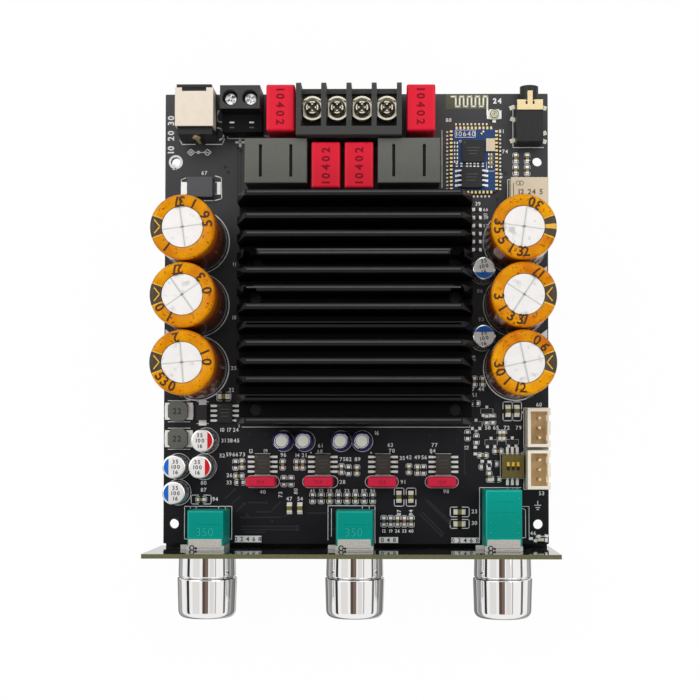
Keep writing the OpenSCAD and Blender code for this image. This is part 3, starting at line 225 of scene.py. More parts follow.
MOTTLE = make_mottle()
SOFT_EDGES = make_soft_edges()
DRAWN_GRAIN = make_drawn_grain()


# Materials, kept by name

LOOKS = {}
SPECK_FADE = 0.14


def rgba(color):
    return (*color, 1.0)


def new_material(name):
    """A new material with its graph and the inputs of its shader."""
    material = bpy.data.materials.new(name)
    material.use_nodes = True
    return material, Graph(material.node_tree), material.node_tree.nodes["Principled BSDF"].inputs


def finish(name, color, second, rough, scale, spread=0.15, bump=0.0, edge=0.0, edge_color=None, metallic=0.0,
           grain=None, grain_depth=0.0, shine=0.22, specks=None):
    """A material with mottled colour and roughness, and rounded edges in a colour of their own where asked
    for.
    Scales are per metre, depths and the edge radius in millimetres."""
    material, graph, inputs = new_material(name)
    mottle = graph.add("ShaderNodeGroup", {
        "Color": rgba(color), "Second Color": rgba(second or [0.8 * c for c in color]), "Scale": scale,
        "Roughness": rough, "Roughness Spread": spread,
    }, node_tree=MOTTLE).outputs
    tone, normal = mottle["Color"], None
    if specks:
        speck_color, speck_scale, level = specks
        fine = graph.add("ShaderNodeGroup", {"Scale": speck_scale}, node_tree=MOTTLE).outputs["Height"]
        tone = graph.mix(graph.range(fine, level, level + SPECK_FADE), tone, rgba(speck_color))
    if edge:
        soft = graph.add("ShaderNodeGroup", {"Radius": edge * MM}, node_tree=SOFT_EDGES).outputs
        normal = soft["Normal"]
        if edge_color:
            tone = graph.mix(soft["Mask"], tone, rgba(edge_color))
    if bump or grain:
        height, depth = mottle["Height"], bump
        if grain:
            height = graph.add("ShaderNodeGroup", {"Stretch": grain}, node_tree=DRAWN_GRAIN).outputs["Value"]
            depth = grain_depth
        relief = graph.add("ShaderNodeBump", {"Strength": 1.0, "Distance": depth * MM, "Height": height})
        if normal:
            graph.set(relief.inputs["Normal"], normal)
        normal = relief.outputs["Normal"]
    if normal:
        graph.set(inputs["Normal"], normal)
    for label, value in (("Metallic", metallic), ("Specular IOR Level", shine),
                         ("Roughness", mottle["Roughness"]), ("Base Color", tone)):
        graph.set(inputs[label], value)
    LOOKS[name] = material


# Name, two colours, roughness, scale of the mottle, and what else the surface has
finish("board_mask", (0.0115, 0.011, 0.0135), (0.017, 0.0165, 0.02), 0.42, 60, spread=0.1)
finish("board_edge", (0.09, 0.085, 0.06), (0.05, 0.05, 0.04), 0.7, 900, bump=0.02)
finish("trace_mask", (0.026, 0.026, 0.03), (0.02, 0.02, 0.023), 0.4, 80)
finish("ink_white", (0.95, 0.95, 0.93), (0.82, 0.82, 0.81), 0.6, 2500)
finish("ink_dark", (0.03, 0.03, 0.035), None, 0.6, 2500)
finish("solder", (0.98, 0.98, 0.95), (0.8, 0.8, 0.78), 0.3, 1400, metallic=0.45, bump=0.03)
finish("pad_tin", (0.98, 0.97, 0.93), (0.84, 0.83, 0.79), 0.35, 1800, metallic=0.45)
finish("panel_gloss", (0.008, 0.008, 0.009), (0.012, 0.012, 0.012), 0.05, 90, spread=0.03, shine=0.5)
finish("panel_edge", (0.15, 0.15, 0.07), (0.085, 0.085, 0.04), 0.75, 1500, bump=0.03)
finish("anodised", (0.0035, 0.0035, 0.004), (0.006, 0.006, 0.006), 0.4, 200, metallic=0.1, edge=0.12,
       edge_color=(0.02, 0.02, 0.02), grain=(30, 1400, 1400), grain_depth=0.01, shine=0.1)
# Painted light: lighter copies of the anodised finish for the fin tops and the fin ends, where light falls on
# them
finish("fin_top", (0.011, 0.011, 0.012), (0.006, 0.006, 0.006), 0.38, 220, metallic=0.1, edge=0.12,
       edge_color=(0.03, 0.03, 0.03), grain=(30, 1400, 1400), grain_depth=0.01, shine=0.12)
# Painted highlight: pale line along the top of each fin
finish("fin_line", (0.085, 0.085, 0.09), (0.04, 0.04, 0.042), 0.35, 240, metallic=0.3)
finish("fin_end", (0.075, 0.075, 0.078), (0.035, 0.035, 0.036), 0.4, 700, metallic=0.3, edge=0.1,
       edge_color=(0.2, 0.2, 0.2))
# Bright specks on the dark brass are painted glints
finish("screw_brass", (0.2, 0.16, 0.09), (0.05, 0.04, 0.025), 0.45, 1100, metallic=0.05, bump=0.12,
       specks=((0.9, 0.8, 0.6), 1300, 0.56), shine=0.2)
finish("plate_gold", (1.0, 0.95, 0.8), (0.92, 0.84, 0.66), 0.25, 900, metallic=0.6, edge=0.08)
# Painted glint: near-white arcs on the speaker screws
finish("screw_rim", (1.0, 0.97, 0.88), (0.94, 0.9, 0.78), 0.25, 900, metallic=0.5)
finish("screw_bright", (0.98, 0.98, 0.97), (0.88, 0.88, 0.88), 0.3, 1300, metallic=0.5, bump=0.12,
       specks=((0.03, 0.03, 0.03), 1500, 0.53), edge=0.1)
finish("steel", (0.7, 0.69, 0.66), (0.5, 0.49, 0.47), 0.3, 900, metallic=0.7, edge=0.08)
finish("screw_dark", (0.018, 0.018, 0.018), (0.03, 0.03, 0.03), 0.35, 900, metallic=0.5, edge=0.12,
       edge_color=(0.12, 0.12, 0.12))
finish("tinned", (0.78, 0.68, 0.57), (0.68, 0.59, 0.49), 0.45, 600, metallic=0.2, edge=0.1)
finish("contact", (0.85, 0.7, 0.4), (0.7, 0.56, 0.3), 0.32, 900, metallic=0.4, edge=0.06)
finish("chip_black", (0.02, 0.02, 0.021), (0.03, 0.03, 0.031), 0.55, 1500, bump=0.01, edge=0.08,
       edge_color=(0.06, 0.06, 0.06))
finish("chip_brown", (0.07, 0.065, 0.052), (0.046, 0.042, 0.034), 0.6, 1800, bump=0.01, edge=0.08,
       edge_color=(0.09, 0.085, 0.07))
finish("chip_grey", (0.11, 0.11, 0.115), (0.08, 0.08, 0.085), 0.5, 2500, edge=0.05)
finish("chip_olive", (0.23, 0.2, 0.06), (0.17, 0.15, 0.045), 0.5, 2500, edge=0.05)
finish("chip_pink", (0.4, 0.17, 0.11), (0.32, 0.13, 0.09), 0.5, 2500, edge=0.05)
finish("cap_cream", (0.97, 0.93, 0.76), (0.85, 0.8, 0.62), 0.35, 1800, metallic=0.1)
finish("plastic_black", (0.012, 0.012, 0.013), (0.022, 0.022, 0.023), 0.42, 1200, bump=0.008, edge=0.15,
       edge_color=(0.05, 0.05, 0.05))
finish("plastic_grey", (0.034, 0.033, 0.033), (0.05, 0.05, 0.048), 0.5, 1400, bump=0.01, edge=0.18,
       edge_color=(0.1, 0.1, 0.1))
finish("film_red", (0.78, 0.01, 0.036), (0.7, 0.007, 0.029), 0.35, 300, bump=0.01, edge=0.2,
       edge_color=(0.85, 0.05, 0.09))
finish("ferrite", (0.145, 0.147, 0.13), (0.105, 0.107, 0.095), 0.55, 2600, bump=0.02, edge=0.25,
       edge_color=(0.25, 0.25, 0.225))
finish("sleeve_orange", (1.0, 0.5, 0.0), (0.42, 0.015, 0.0), 0.28, 210, bump=0.06,
       specks=((0.2, 0.035, 0.0), 1300, 0.58), shine=0.12)
finish("sleeve_print", (0.045, 0.016, 0.004), (0.07, 0.03, 0.008), 0.35, 900)
finish("sleeve_stripe", (0.05, 0.035, 0.02), (0.07, 0.05, 0.03), 0.4, 700)
finish("sleeve_yellow", (0.85, 0.5, 0.06), (0.75, 0.4, 0.04), 0.35, 700)
finish("can_white", (0.86, 0.84, 0.82), (0.72, 0.7, 0.68), 0.5, 300, metallic=0.25, bump=0.01,
       specks=((0.55, 0.54, 0.52), 450, 0.6))
finish("score_line", (0.5, 0.49, 0.47), (0.42, 0.41, 0.4), 0.5, 900, metallic=0.3)
finish("can_metal", (0.8, 0.8, 0.8), (0.66, 0.66, 0.66), 0.25, 400, metallic=0.9)
finish("mark_blue", (0.012, 0.19, 0.62), (0.004, 0.09, 0.5), 0.4, 900)
finish("mark_red", (0.7, 0.004, 0.015), (0.6, 0.003, 0.01), 0.4, 900)
finish("navy", (0.022, 0.017, 0.12), (0.012, 0.01, 0.06), 0.3, 500, bump=0.02)
finish("tone_red", (0.7, 0.016, 0.062), (0.6, 0.01, 0.045), 0.4, 900, bump=0.02, edge=0.2,
       edge_color=(0.78, 0.07, 0.12))
finish("radio_blue", (0.006, 0.075, 0.27), (0.035, 0.05, 0.11), 0.35, 220)
finish("cream", (0.95, 0.88, 0.74), (0.87, 0.79, 0.64), 0.5, 900, bump=0.01, edge=0.18,
       edge_color=(0.92, 0.87, 0.75))
finish("cream_pale", (0.78, 0.67, 0.5), (0.72, 0.61, 0.45), 0.45, 900, bump=0.01, edge=0.2,
       edge_color=(0.88, 0.8, 0.66))
finish("amber", (0.2, 0.15, 0.045), (0.13, 0.1, 0.03), 0.25, 900, edge=0.1, edge_color=(0.3, 0.24, 0.09))
finish("slider_yellow", (0.97, 0.63, 0.05), (0.85, 0.5, 0.04), 0.4, 2000, edge=0.08,
       edge_color=(0.95, 0.8, 0.3))
finish("teal", (0.0, 0.37, 0.3), (0.0, 0.33, 0.265), 0.4, 700, bump=0.012, edge=0.2,
       edge_color=(0.01, 0.48, 0.4), shine=0.1)
finish("die_cast", (0.78, 0.77, 0.72), (0.45, 0.43, 0.38), 0.4, 2200, metallic=0.35, edge=0.1, bump=0.05)
finish("chrome", (0.87, 0.86, 0.855), (0.84, 0.83, 0.825), 0.03, 120, spread=0.015, metallic=1.0)
finish("lamp_clear", (0.8, 0.8, 0.62), (0.7, 0.7, 0.5), 0.2, 2500)
finish("resistor_top", (0.02, 0.02, 0.024), (0.03, 0.03, 0.034), 0.4, 2000, edge=0.05)
finish("ceramic_tan", (0.34, 0.25, 0.09), (0.26, 0.19, 0.07), 0.45, 2500, edge=0.05)
finish("spacer_white", (0.75, 0.75, 0.72), None, 0.5, 900)
finish("pad_grey", (0.3, 0.34, 0.37), None, 0.8, 1500, bump=0.02)
finish("gold_pad", (0.75, 0.58, 0.27), (0.6, 0.45, 0.2), 0.35, 2000, metallic=1.0)
# Painted shade: near black for the power terminal's step; dark for grooves, bays and the terminal's lower
# faces, also used for some dark print
finish("step_black", (0.004, 0.004, 0.004), (0.006, 0.006, 0.006), 0.6, 900, shine=0.1)
finish("groove_dark", (0.02, 0.02, 0.018), (0.03, 0.03, 0.028), 0.7, 900)
finish("crystal_metal", (0.6, 0.5, 0.35), (0.5, 0.42, 0.3), 0.35, 900, metallic=0.8)
# Painted shade: darker tan for the inside of the headers
finish("header_inside", (0.9, 0.74, 0.5), (0.78, 0.63, 0.41), 0.55, 900)
finish("can_pale", (0.82, 0.83, 0.74), (0.7, 0.71, 0.62), 0.4, 700, metallic=0.4)
# Painted shade: dark brown ring at the sleeve's lip
finish("rim_brown", (0.1, 0.03, 0.002), (0.06, 0.018, 0.001), 0.45, 1200)
finish("chip_mark", (0.12, 0.12, 0.12), (0.07, 0.07, 0.07), 0.6, 2500)
finish("film_ink", (0.2, 0.004, 0.012), (0.27, 0.006, 0.016), 0.5, 1500, shine=0.1)
finish("tone_ink", (0.3, 0.008, 0.025), (0.36, 0.01, 0.03), 0.45, 1500)
finish("relay_ink", (0.12, 0.09, 0.055), (0.17, 0.13, 0.08), 0.55, 1500)
finish("teal_deep", (0.0, 0.24, 0.195), (0.0, 0.28, 0.225), 0.45, 1500, shine=0.1)
finish("teal_pale", (0.06, 0.6, 0.52), (0.03, 0.5, 0.43), 0.4, 1500, shine=0.1)
finish("antenna_white", (0.88, 0.86, 0.72), (0.76, 0.74, 0.6), 0.4, 1500, metallic=0.15)
# Painted shade: slightly darker bands along the cans' scores
finish("score_dip", (0.76, 0.75, 0.73), (0.68, 0.67, 0.65), 0.5, 900, metallic=0.25)
finish("bare_board", (0.115, 0.125, 0.07), (0.08, 0.088, 0.05), 0.6, 1200)
# Sleeve side in painted shade, darker towards the board
finish("sleeve_side", (0.5, 0.12, 0.004), None, 0.22, 260, bump=0.02)
SLEEVE_LOOKS = ["sleeve_orange", "sleeve_stripe", "sleeve_yellow", "sleeve_side"]
# Sheen of the board at its front and rear edge, as under a window behind it
BOARD_SHINE = (0.06, 0.5)
# Painted shade: heights between which a sleeve's side brightens, and its tones from the board up, darkest at
# the board
SIDE_LOW, SIDE_HIGH = 2.0, 26.0
SIDE_SHADE_TONES = ((0.03, 0.008, 0.004), (0.17, 0.028, 0.004), (0.62, 0.17, 0.004))
SIDE_BEND = 0.7


def shade_board():
    tree = LOOKS["board_mask"].node_tree
    graph = Graph(tree)
    shine = graph.range(graph.axes()["Y"], FRONT * MM, REAR * MM, *BOARD_SHINE)
    graph.set(tree.nodes["Principled BSDF"].inputs["Specular IOR Level"], shine)


def shade_sleeve_side():
    """Painted shade: bright under the rim, deep brown towards the board, under a clear coat."""
    tree = LOOKS["sleeve_side"].node_tree
    graph, inputs = Graph(tree), tree.nodes["Principled BSDF"].inputs
    graph.set(inputs["Coat Weight"], 0.3)
    graph.set(inputs["Coat Roughness"], 0.1)
    ramp = graph.add("ShaderNodeValToRGB", {
        "Fac": graph.range(graph.axes()["Z"], SIDE_LOW * MM, SIDE_HIGH * MM)})
    stops = ramp.color_ramp.elements
    stops[0].color, stops[1].color = rgba(SIDE_SHADE_TONES[0]), rgba(SIDE_SHADE_TONES[2])
    stops.new(SIDE_BEND).color = rgba(SIDE_SHADE_TONES[1])
    graph.set(inputs["Base Color"], ramp.outputs["Color"])


shade_board()
shade_sleeve_side()

NODE_LOOKS = {
    "main_board": "board_mask", "front_panel": "panel_gloss", "heatsink": "anodised",
    "heatsink_screws": "screw_dark", "heatsink_spacers": "spacer_white", "amplifier_chip": "chip_black",
    "thermal_pad": "pad_grey", "power_jack_housing": "plastic_black", "power_jack_shield": "tinned",
    "power_jack_pin": "contact", "power_terminal_body": "plastic_grey",
    "power_terminal_screws": "screw_bright", "power_terminal_cages": "tinned",
    "speaker_terminal_body": "plastic_grey", "speaker_terminal_screws": "screw_brass",
    "speaker_terminal_plates": "plate_gold", "film_capacitors": "film_red", "output_inductors": "ferrite",
    "bulk_capacitor_cans": "can_white", "small_can_tops": "can_metal", "small_can_bases": "plastic_black",
    "radial_capacitors": "navy", "tone_capacitors": "tone_red", "small_outline_chips": "chip_black",
    "supply_inductors": "ferrite", "radio_board": "radio_blue", "radio_chips": "chip_black",
    "antenna_socket": "antenna_white", "audio_jack_housing": "plastic_black",
    "audio_jack_bracket": "contact", "relay": "cream_pale", "line_headers": "cream",
    "header_pins": "contact", "slide_switch_body": "amber", "treble_control": "teal",
    "bass_control": "teal", "volume_control": "teal", "control_bushings": "die_cast",
    "control_nuts": "steel", "treble_shaft": "steel", "bass_shaft": "steel", "volume_shaft": "steel",
    "treble_knob": "chrome", "bass_knob": "chrome", "volume_knob": "chrome", "power_lamp": "lamp_clear",
    "chip_resistors": "resistor_top", "chip_capacitors": "ceramic_tan",
}
NODE_LOOKS.update({f"bulk_sleeve_{number}": "sleeve_orange" for number in range(1, 7)})
NODE_LOOKS.update({f"switch_slider_{number}": "slider_yellow" for number in range(1, 4)})


def dress_nodes():
    for name, look in NODE_LOOKS.items():
        materials = NODES[name].data.materials
        materials.clear()
        materials.append(LOOKS[look])


def paint_faces(name, look, test):
    """Gives a second look to the faces of a node whose middle and normal pass the test, in millimetres."""
    mesh = NODES[name].data
    mesh.materials.append(LOOKS[look])
    for face in mesh.polygons:
        if test(face.center / MM, face.normal):
            face.material_index = len(mesh.materials) - 1


# Flat prints: ink, pads and traces

GLYPHS = {}
GLYPH_SIZE = 1.4
GLYPH_GAP = 0.14
SPACE_WIDTH = 0.4


def glyph(character, weight):
    """Flat mesh of one character of height 1: points, faces and width."""
    if (character, weight) not in GLYPHS:
        curve = bpy.data.curves.new("glyph", "FONT")
        curve.body = character
        curve.size = GLYPH_SIZE
        curve.offset = weight
        curve.resolution_u = 3
        holder = put_in_scene("glyph", curve)
        mesh = bpy.data.meshes.new_from_object(holder.evaluated_get(bpy.context.evaluated_depsgraph_get()))
        points = [(v.co.x, v.co.y) for v in mesh.vertices]
        faces = [tuple(face.vertices) for face in mesh.polygons]
        width = max((p[0] for p in points), default=SPACE_WIDTH) + GLYPH_GAP
        GLYPHS[character, weight] = (points, faces, width)
        bpy.data.objects.remove(holder)
        bpy.data.curves.remove(curve)
        bpy.data.meshes.remove(mesh)
    return GLYPHS[character, weight]


class Print:
    """Collects flat shapes that lie on a level plane and makes one piece of them."""

    def __init__(self, height):
        self.height = height
        self.points = []
        self.faces = []

    def shape(self, outline):
        start = len(self.points)
        self.points += [(x, y, self.height) for x, y in outline]
        self.faces.append(tuple(range(start, start + len(outline))))

    def fill(self, x0, y0, x1, y1):
        self.shape([(x0, y0), (x1, y0), (x1, y1), (x0, y1)])

    def line(self, path, width):
        for (ax, ay), (bx, by) in zip(path, path[1:]):
            length = math.hypot(bx - ax, by - ay) or 1.0
            ux, uy = (bx - ax) / length, (by - ay) / length
            ax, ay = ax - ux * width / 2, ay - uy * width / 2
            bx, by = bx + ux * width / 2, by + uy * width / 2
            nx, ny = -uy * width / 2, ux * width / 2
            self.shape([(ax - nx, ay - ny), (bx - nx, by - ny), (bx + nx, by + ny), (ax + nx, ay + ny)])

    def frame(self, x0, y0, x1, y1, width):
        self.line([(x0, y0), (x1, y0), (x1, y1), (x0, y1), (x0, y0)], width)

    def ring(self, x, y, radius, width, start=0, end=360, steps=64):
        inner, outer = radius - width / 2, radius + width / 2
        angles = spaced(start, end, steps)
        for a, b in zip(angles, angles[1:]):
            corners = ((inner, a), (outer, a), (outer, b), (inner, b))
            self.shape([on_circle(x, y, r, angle) for r, angle in corners])

    def disc(self, x, y, radius, steps=32):
        self.shape([on_circle(x, y, radius, 360 * i / steps) for i in range(steps)])

    def segment(self, x, y, radius, facing, half_angle, steps=16):
        """The part of a disc that a straight cut leaves on the facing side."""
        angles = spaced(facing - half_angle, facing + half_angle, steps)
        self.shape([on_circle(x, y, radius, angle) for angle in angles])

    def stadium(self, x, y, length, breadth, width):
        """Outline of a slot shape that lies along X."""
        r = breadth / 2
        half = length / 2 - r
        for side in SIDES:
            self.line([(x - half, y + side * r), (x + half, y + side * r)], width)
            self.ring(x - side * half, y, r, width, 90 * side, 90 * side + 180, 16)

    def digits(self, text, x, y, height, turn=0.0, weight=0.025, gap=0.0):
        """Plain figures, centred on x and y."""
        total = sum(glyph(c, weight)[2] + gap for c in text) * height
        cos, sin = math.cos(math.radians(turn)), math.sin(math.radians(turn))
        along = -total / 2
        for character in text:
            points, faces, width = glyph(character, weight)
            start = len(self.points)
            for px, py in points:
                lx, ly = along + px * height, (py - 0.5) * height
                self.points.append((x + lx * cos - ly * sin, y + lx * sin + ly * cos, self.height))
            self.faces += [tuple(start + i for i in face) for face in faces]
            along += (width + gap) * height

    def piece(self, name, look):
        return mesh_piece(name, self.points, self.faces, look)


def print_on(node, lift=INK_LIFT):
    return Print(node_top(node) + lift)


def mesh_piece(name, points, faces, looks, body=BOARD, smooth=False, chosen=None):
    """A piece that rides on a body, from points in millimetres; chosen holds each face's place in looks."""
    mesh = bpy.data.meshes.new(name)
    mesh.from_pydata([Vector(p) * MM for p in points], [], faces)
    for look in looks if isinstance(looks, list) else [looks]:
        mesh.materials.append(LOOKS[look])
    for count, face in enumerate(mesh.polygons):
        face.use_smooth = smooth
        if chosen:
            face.material_index = chosen[count]
    if smooth:
        mesh.set_sharp_from_angle(angle=math.radians(SHARP_ANGLE))
    mesh.update()
    piece = put_in_scene(name, mesh)
    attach(piece, body)
    return piece


# Repeated details, made with Geometry Nodes

def new_tree(name, *labels):
    """A geometry tree that takes points, sizes and a material; returns its graph and the sizes."""
    sizes = [(label, "Int" if label == "Count" else "Float") for label in labels]
    graph = new_graph("GeometryNodeTree", name, [("Geometry", "Geometry"), *sizes, ("Material", "Material")],
                      [("Geometry", "Geometry")])
    return graph, *(graph.given[label] for label in labels)


def set_on_points(graph, shape):
    """Puts a shape on every point, turned by the point's turn attribute, and ends the tree."""
    turn = graph.add("GeometryNodeInputNamedAttribute", {"Name": "turn"}, data_type="FLOAT")
    angles = graph.vector(0, 0, turn.outputs["Attribute"])
    rotation = graph.add("FunctionNodeEulerToRotation", {0: angles}).outputs[0]
    instances = graph.add("GeometryNodeInstanceOnPoints", {
        "Points": graph.given["Geometry"], "Instance": shape, "Rotation": rotation})
    real = graph.add("GeometryNodeRealizeInstances", {0: instances.outputs[0]})
    dressed = graph.add("GeometryNodeSetMaterial", {
        "Geometry": real.outputs[0], "Material": graph.given["Material"]})
    return graph.end(Geometry=dressed.outputs[0])


def box(graph, size, place):
    cube = graph.add("GeometryNodeMeshCube", {"Size": graph.vector(*size)})
    return graph.add("GeometryNodeTransform", {
        "Geometry": cube.outputs["Mesh"], "Translation": graph.vector(*place)}).outputs[0]


def join(graph, shapes):
    joined = graph.add("GeometryNodeJoinGeometry")
    for shape in shapes:
        graph.set(joined.inputs[0], shape)
    return joined.outputs[0]


def make_end_caps():
    """Two metal caps round the ends of a chip part that lies along X."""
    graph, length, width, height, cap = new_tree("chip_end_caps", "Length", "Width", "Height", "Cap")
    reach = graph.math("SUBTRACT", length, cap)
    middle = graph.math("MULTIPLY", height, 0.5)
    ends = [graph.math("MULTIPLY", reach, 0.5), graph.math("MULTIPLY", reach, -0.5)]
    return set_on_points(graph, join(graph, [box(graph, (cap, width, height), (x, 0, middle)) for x in ends]))


def make_chip_bodies():
    """A plain chip body that lies along X on each point."""
    graph, length, width, height = new_tree("chip_bodies", "Length", "Width", "Height")
    middle = graph.math("MULTIPLY", height, 0.5)
    return set_on_points(graph, box(graph, (length, width, height), (0, 0, middle)))


def make_pad_row():
    """A row of flat pads along X, centred on each point."""
    graph, count, pitch, width, length, thickness = new_tree(
        "pad_row", "Count", "Pitch", "Width", "Length", "Thickness")
    span = graph.math("MULTIPLY", graph.math("SUBTRACT", count, 1.0), pitch)
    row = graph.add("GeometryNodeMeshLine", {
        "Count": count, "Start Location": graph.vector(graph.math("MULTIPLY", span, -0.5), 0, 0),
        "Offset": graph.vector(pitch, 0, 0)})
    pad = box(graph, (width, length, thickness), (0, 0, graph.math("MULTIPLY", thickness, 0.5)))
    pads = graph.add("GeometryNodeInstanceOnPoints", {"Points": row.outputs[0], "Instance": pad})
    return set_on_points(graph, pads.outputs[0])


def make_solder_joints():
    """A cone of solder with a cut-off lead end, hanging from each point."""
    graph, radius, lead_radius, height, lead_length = new_tree(
        "solder_joints", "Radius", "Lead Radius", "Height", "Lead Length")
    hung = []
    for bottom, top, depth in ((radius, lead_radius, height), (lead_radius, lead_radius, lead_length)):
        cone = graph.add("GeometryNodeMeshCone", {
            "Vertices": 14, "Radius Bottom": bottom, "Radius Top": top, "Depth": depth})
        hung.append(graph.add("GeometryNodeTransform", {
            "Geometry": cone.outputs["Mesh"], "Rotation": (math.pi, 0, 0)}).outputs[0])
    return set_on_points(graph, join(graph, hung))


def make_plated_holes():
    """A low ring with an open middle on each point."""
    graph, outer, inner, thickness = new_tree("plated_holes", "Outer", "Inner", "Thickness")
    middle = graph.math("MULTIPLY", graph.math("ADD", outer, inner), 0.5)
    path = graph.add("GeometryNodeCurvePrimitiveCircle", {"Resolution": 16, "Radius": middle})
    section = graph.add("GeometryNodeCurvePrimitiveQuadrilateral", {
        "Width": graph.math("SUBTRACT", outer, inner), "Height": thickness})
    ring = graph.add("GeometryNodeCurveToMesh", {
        "Curve": path.outputs[0], "Profile Curve": section.outputs[0]})
    return set_on_points(graph, ring.outputs[0])


CHIP_BODIES = make_chip_bodies()
END_CAPS = make_end_caps()
PAD_ROW = make_pad_row()
SOLDER_JOINTS = make_solder_joints()
PLATED_HOLES = make_plated_holes()


def grow(name, tree, places, look, **sizes):
    """Runs a tree on points (x, y, z, turn in degrees), all in millimetres, and keeps the plain mesh."""
    mesh = bpy.data.meshes.new(name)
    mesh.from_pydata([Vector(place[:3]) * MM for place in places], [], [])
    turn = mesh.attributes.new("turn", "FLOAT", "POINT")
    for item, place in zip(turn.data, places):
        item.value = math.radians(place[3])
    piece = put_in_scene(name, mesh)
    modifier = piece.modifiers.new("grow", "NODES")
    modifier.node_group = tree
    for item in tree.interface.items_tree:
        label = item.name.replace(" ", "_").lower()
        if label == "material":
            modifier[item.identifier] = LOOKS[look]
        elif label == "count":
            modifier[item.identifier] = sizes[label]
        elif label in sizes:
            modifier[item.identifier] = sizes[label] * MM
    grown = bpy.data.meshes.new_from_object(piece.evaluated_get(bpy.context.evaluated_depsgraph_get()))
    piece.modifiers.clear()
    piece.data = grown
    bpy.data.meshes.remove(mesh)
    grown.name = name
    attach(piece, BOARD)


def add_pads(name, places, look, count, pitch, width, length, thickness):
    """Rows of flat pads, with a number of pads in each row."""
    grow(name, PAD_ROW, places, look, count=count, pitch=pitch, width=width, length=length,
         thickness=thickness)


def add_ends(name, places, look, length, width, height, cap):
    """Metal ends of chip parts."""
    grow(name, END_CAPS, places, look, length=length, width=width, height=height, cap=cap)


def add_bodies(name, places, look, length, width, height):
    """Bodies of chip parts."""
    grow(name, CHIP_BODIES, places, look, length=length, width=width, height=height)


# Turned pieces

def turned(profile, steps, closed=False):
    """Points and faces of a shape turned about Z from (radius, height) pairs that run up its outside."""
    points = []
    rings = []
    for r, z in profile:
        start = len(points)
        if r < 1e-6:
            points.append((0.0, 0.0, z))
            rings.append([start] * steps)
        else:
            angles = [2 * math.pi * i / steps for i in range(steps)]
            points += [(r * math.cos(a), r * math.sin(a), z) for a in angles]
            rings.append(list(range(start, start + steps)))
    pairs = list(zip(rings, rings[1:]))
    if closed:
        pairs.append((rings[-1], rings[0]))
    faces = []
    for below, above in pairs:
        for i in range(steps):
            j = (i + 1) % steps
            corners = []
            for corner in (below[i], below[j], above[j], above[i]):
                if corner not in corners:
                    corners.append(corner)
            faces.append(tuple(corners))
    return points, faces


def moved(points, x, y):
    return [(px + x, py + y, pz) for px, py, pz in points]


def arc(cx, cz, radius, start, end, steps):
    """Points of an arc in a profile, angles in degrees."""
    return [on_circle(cx, cz, radius, angle) for angle in spaced(start, end, steps)]


def add_shells(name, node, profile, steps, places, looks):
    """Turned shells that replace a node, with their last ring of faces in the second look."""
    points, faces = turned(profile, steps)
    last = len(faces) // steps - 1
    all_points, all_faces, chosen = [], [], []
    for x, y in places:
        start = len(all_points)
        all_points += moved(points, x, y)
        all_faces += [tuple(start + i for i in face) for face in faces]
        chosen += [int(count // steps == last) for count in range(len(faces))]
    piece = mesh_piece(name, all_points, all_faces, looks, smooth=True, chosen=chosen)
    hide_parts(node)


# Bulk capacitors: shrunk sleeves with a printed stripe, and scored can tops

SLEEVE_WALL = 0.3
RIM_INNER = 5.1
RIM_EDGE = 1.1
SLEEVE_STEPS = 144
STRIPE_HALF = 21.0
STRIPE_BORDER = 2.5
STRIPE_SPLIT = 4
RIM_DIGIT = 2.45
RIM_DIGIT_BASE = -0.42
RIM_DIGIT_LIFT = 0.05
RIM_DIGIT_RADIUS = 6.4
RIM_DIGIT_SLICE = 0.08
# Sleeve number: side its stripe faces, angle of the scored cross, whether the stripe is split,
# and the figures round the rim with their angles
BULK_MARKS = {
    1: (180, 8, False, ((8, "5"), (28, "6"), (62, "1"), (92, "3"), (104, "7"), (232, "1"))),
    2: (180, 35, False, ((10, "0"), (44, "3"), (96, "2"), (108, "7"), (212, "0"), (240, "1"))),
    3: (180, 5, False, ((2, "0"), (22, "1"), (104, "2"), (214, "5"), (230, "3"), (250, "0"))),
    4: (0, -8, True, ((56, "3"), (74, "0"), (172, "3"), (190, "5"), (214, "5"), (238, "1"), (262, "3"),
                      (275, "2"))),
    5: (0, -33, False, ((48, "1"), (64, "7"), (186, "3"), (212, "1"), (240, "3"), (262, "3"), (274, "7"))),
    6: (0, 12, False, ((38, "9"), (62, "0"), (186, "3"), (204, "0"), (226, "1"), (252, "1"), (268, "2"))),
}


def rim_point(radius, high, depth, lift):
    """Place on the rim at a distance in from where its flat begins; negative runs over the rounded edge."""
    flat = radius - RIM_EDGE
    if depth >= 0:
        return flat - depth, high + lift
    turn = math.pi / 2 + depth / RIM_EDGE
    reach = RIM_EDGE + lift
    return flat + reach * math.cos(turn), high - RIM_EDGE + reach * math.sin(turn)


def sliced(points, faces, step):
    """Cuts a flat shape into level strips, so that it can follow a rounded rim."""
    work = bmesh.new()
    corners = [work.verts.new((px, py, 0)) for px, py in points]
    for face in faces:
        work.faces.new([corners[i] for i in face])
    low, high = min(q[1] for q in points), max(q[1] for q in points)
    for count in range(1, int((high - low) / step) + 1):
        whole = work.verts[:] + work.edges[:] + work.faces[:]
        bmesh.ops.bisect_plane(work, geom=whole, plane_co=(0, low + count * step, 0), plane_no=(0, 1, 0))
    work.verts.index_update()
    cut_points = [(corner.co.x, corner.co.y) for corner in work.verts]
    cut_faces = [tuple(corner.index for corner in face.verts) for face in work.faces]
    work.free()
    return cut_points, cut_faces


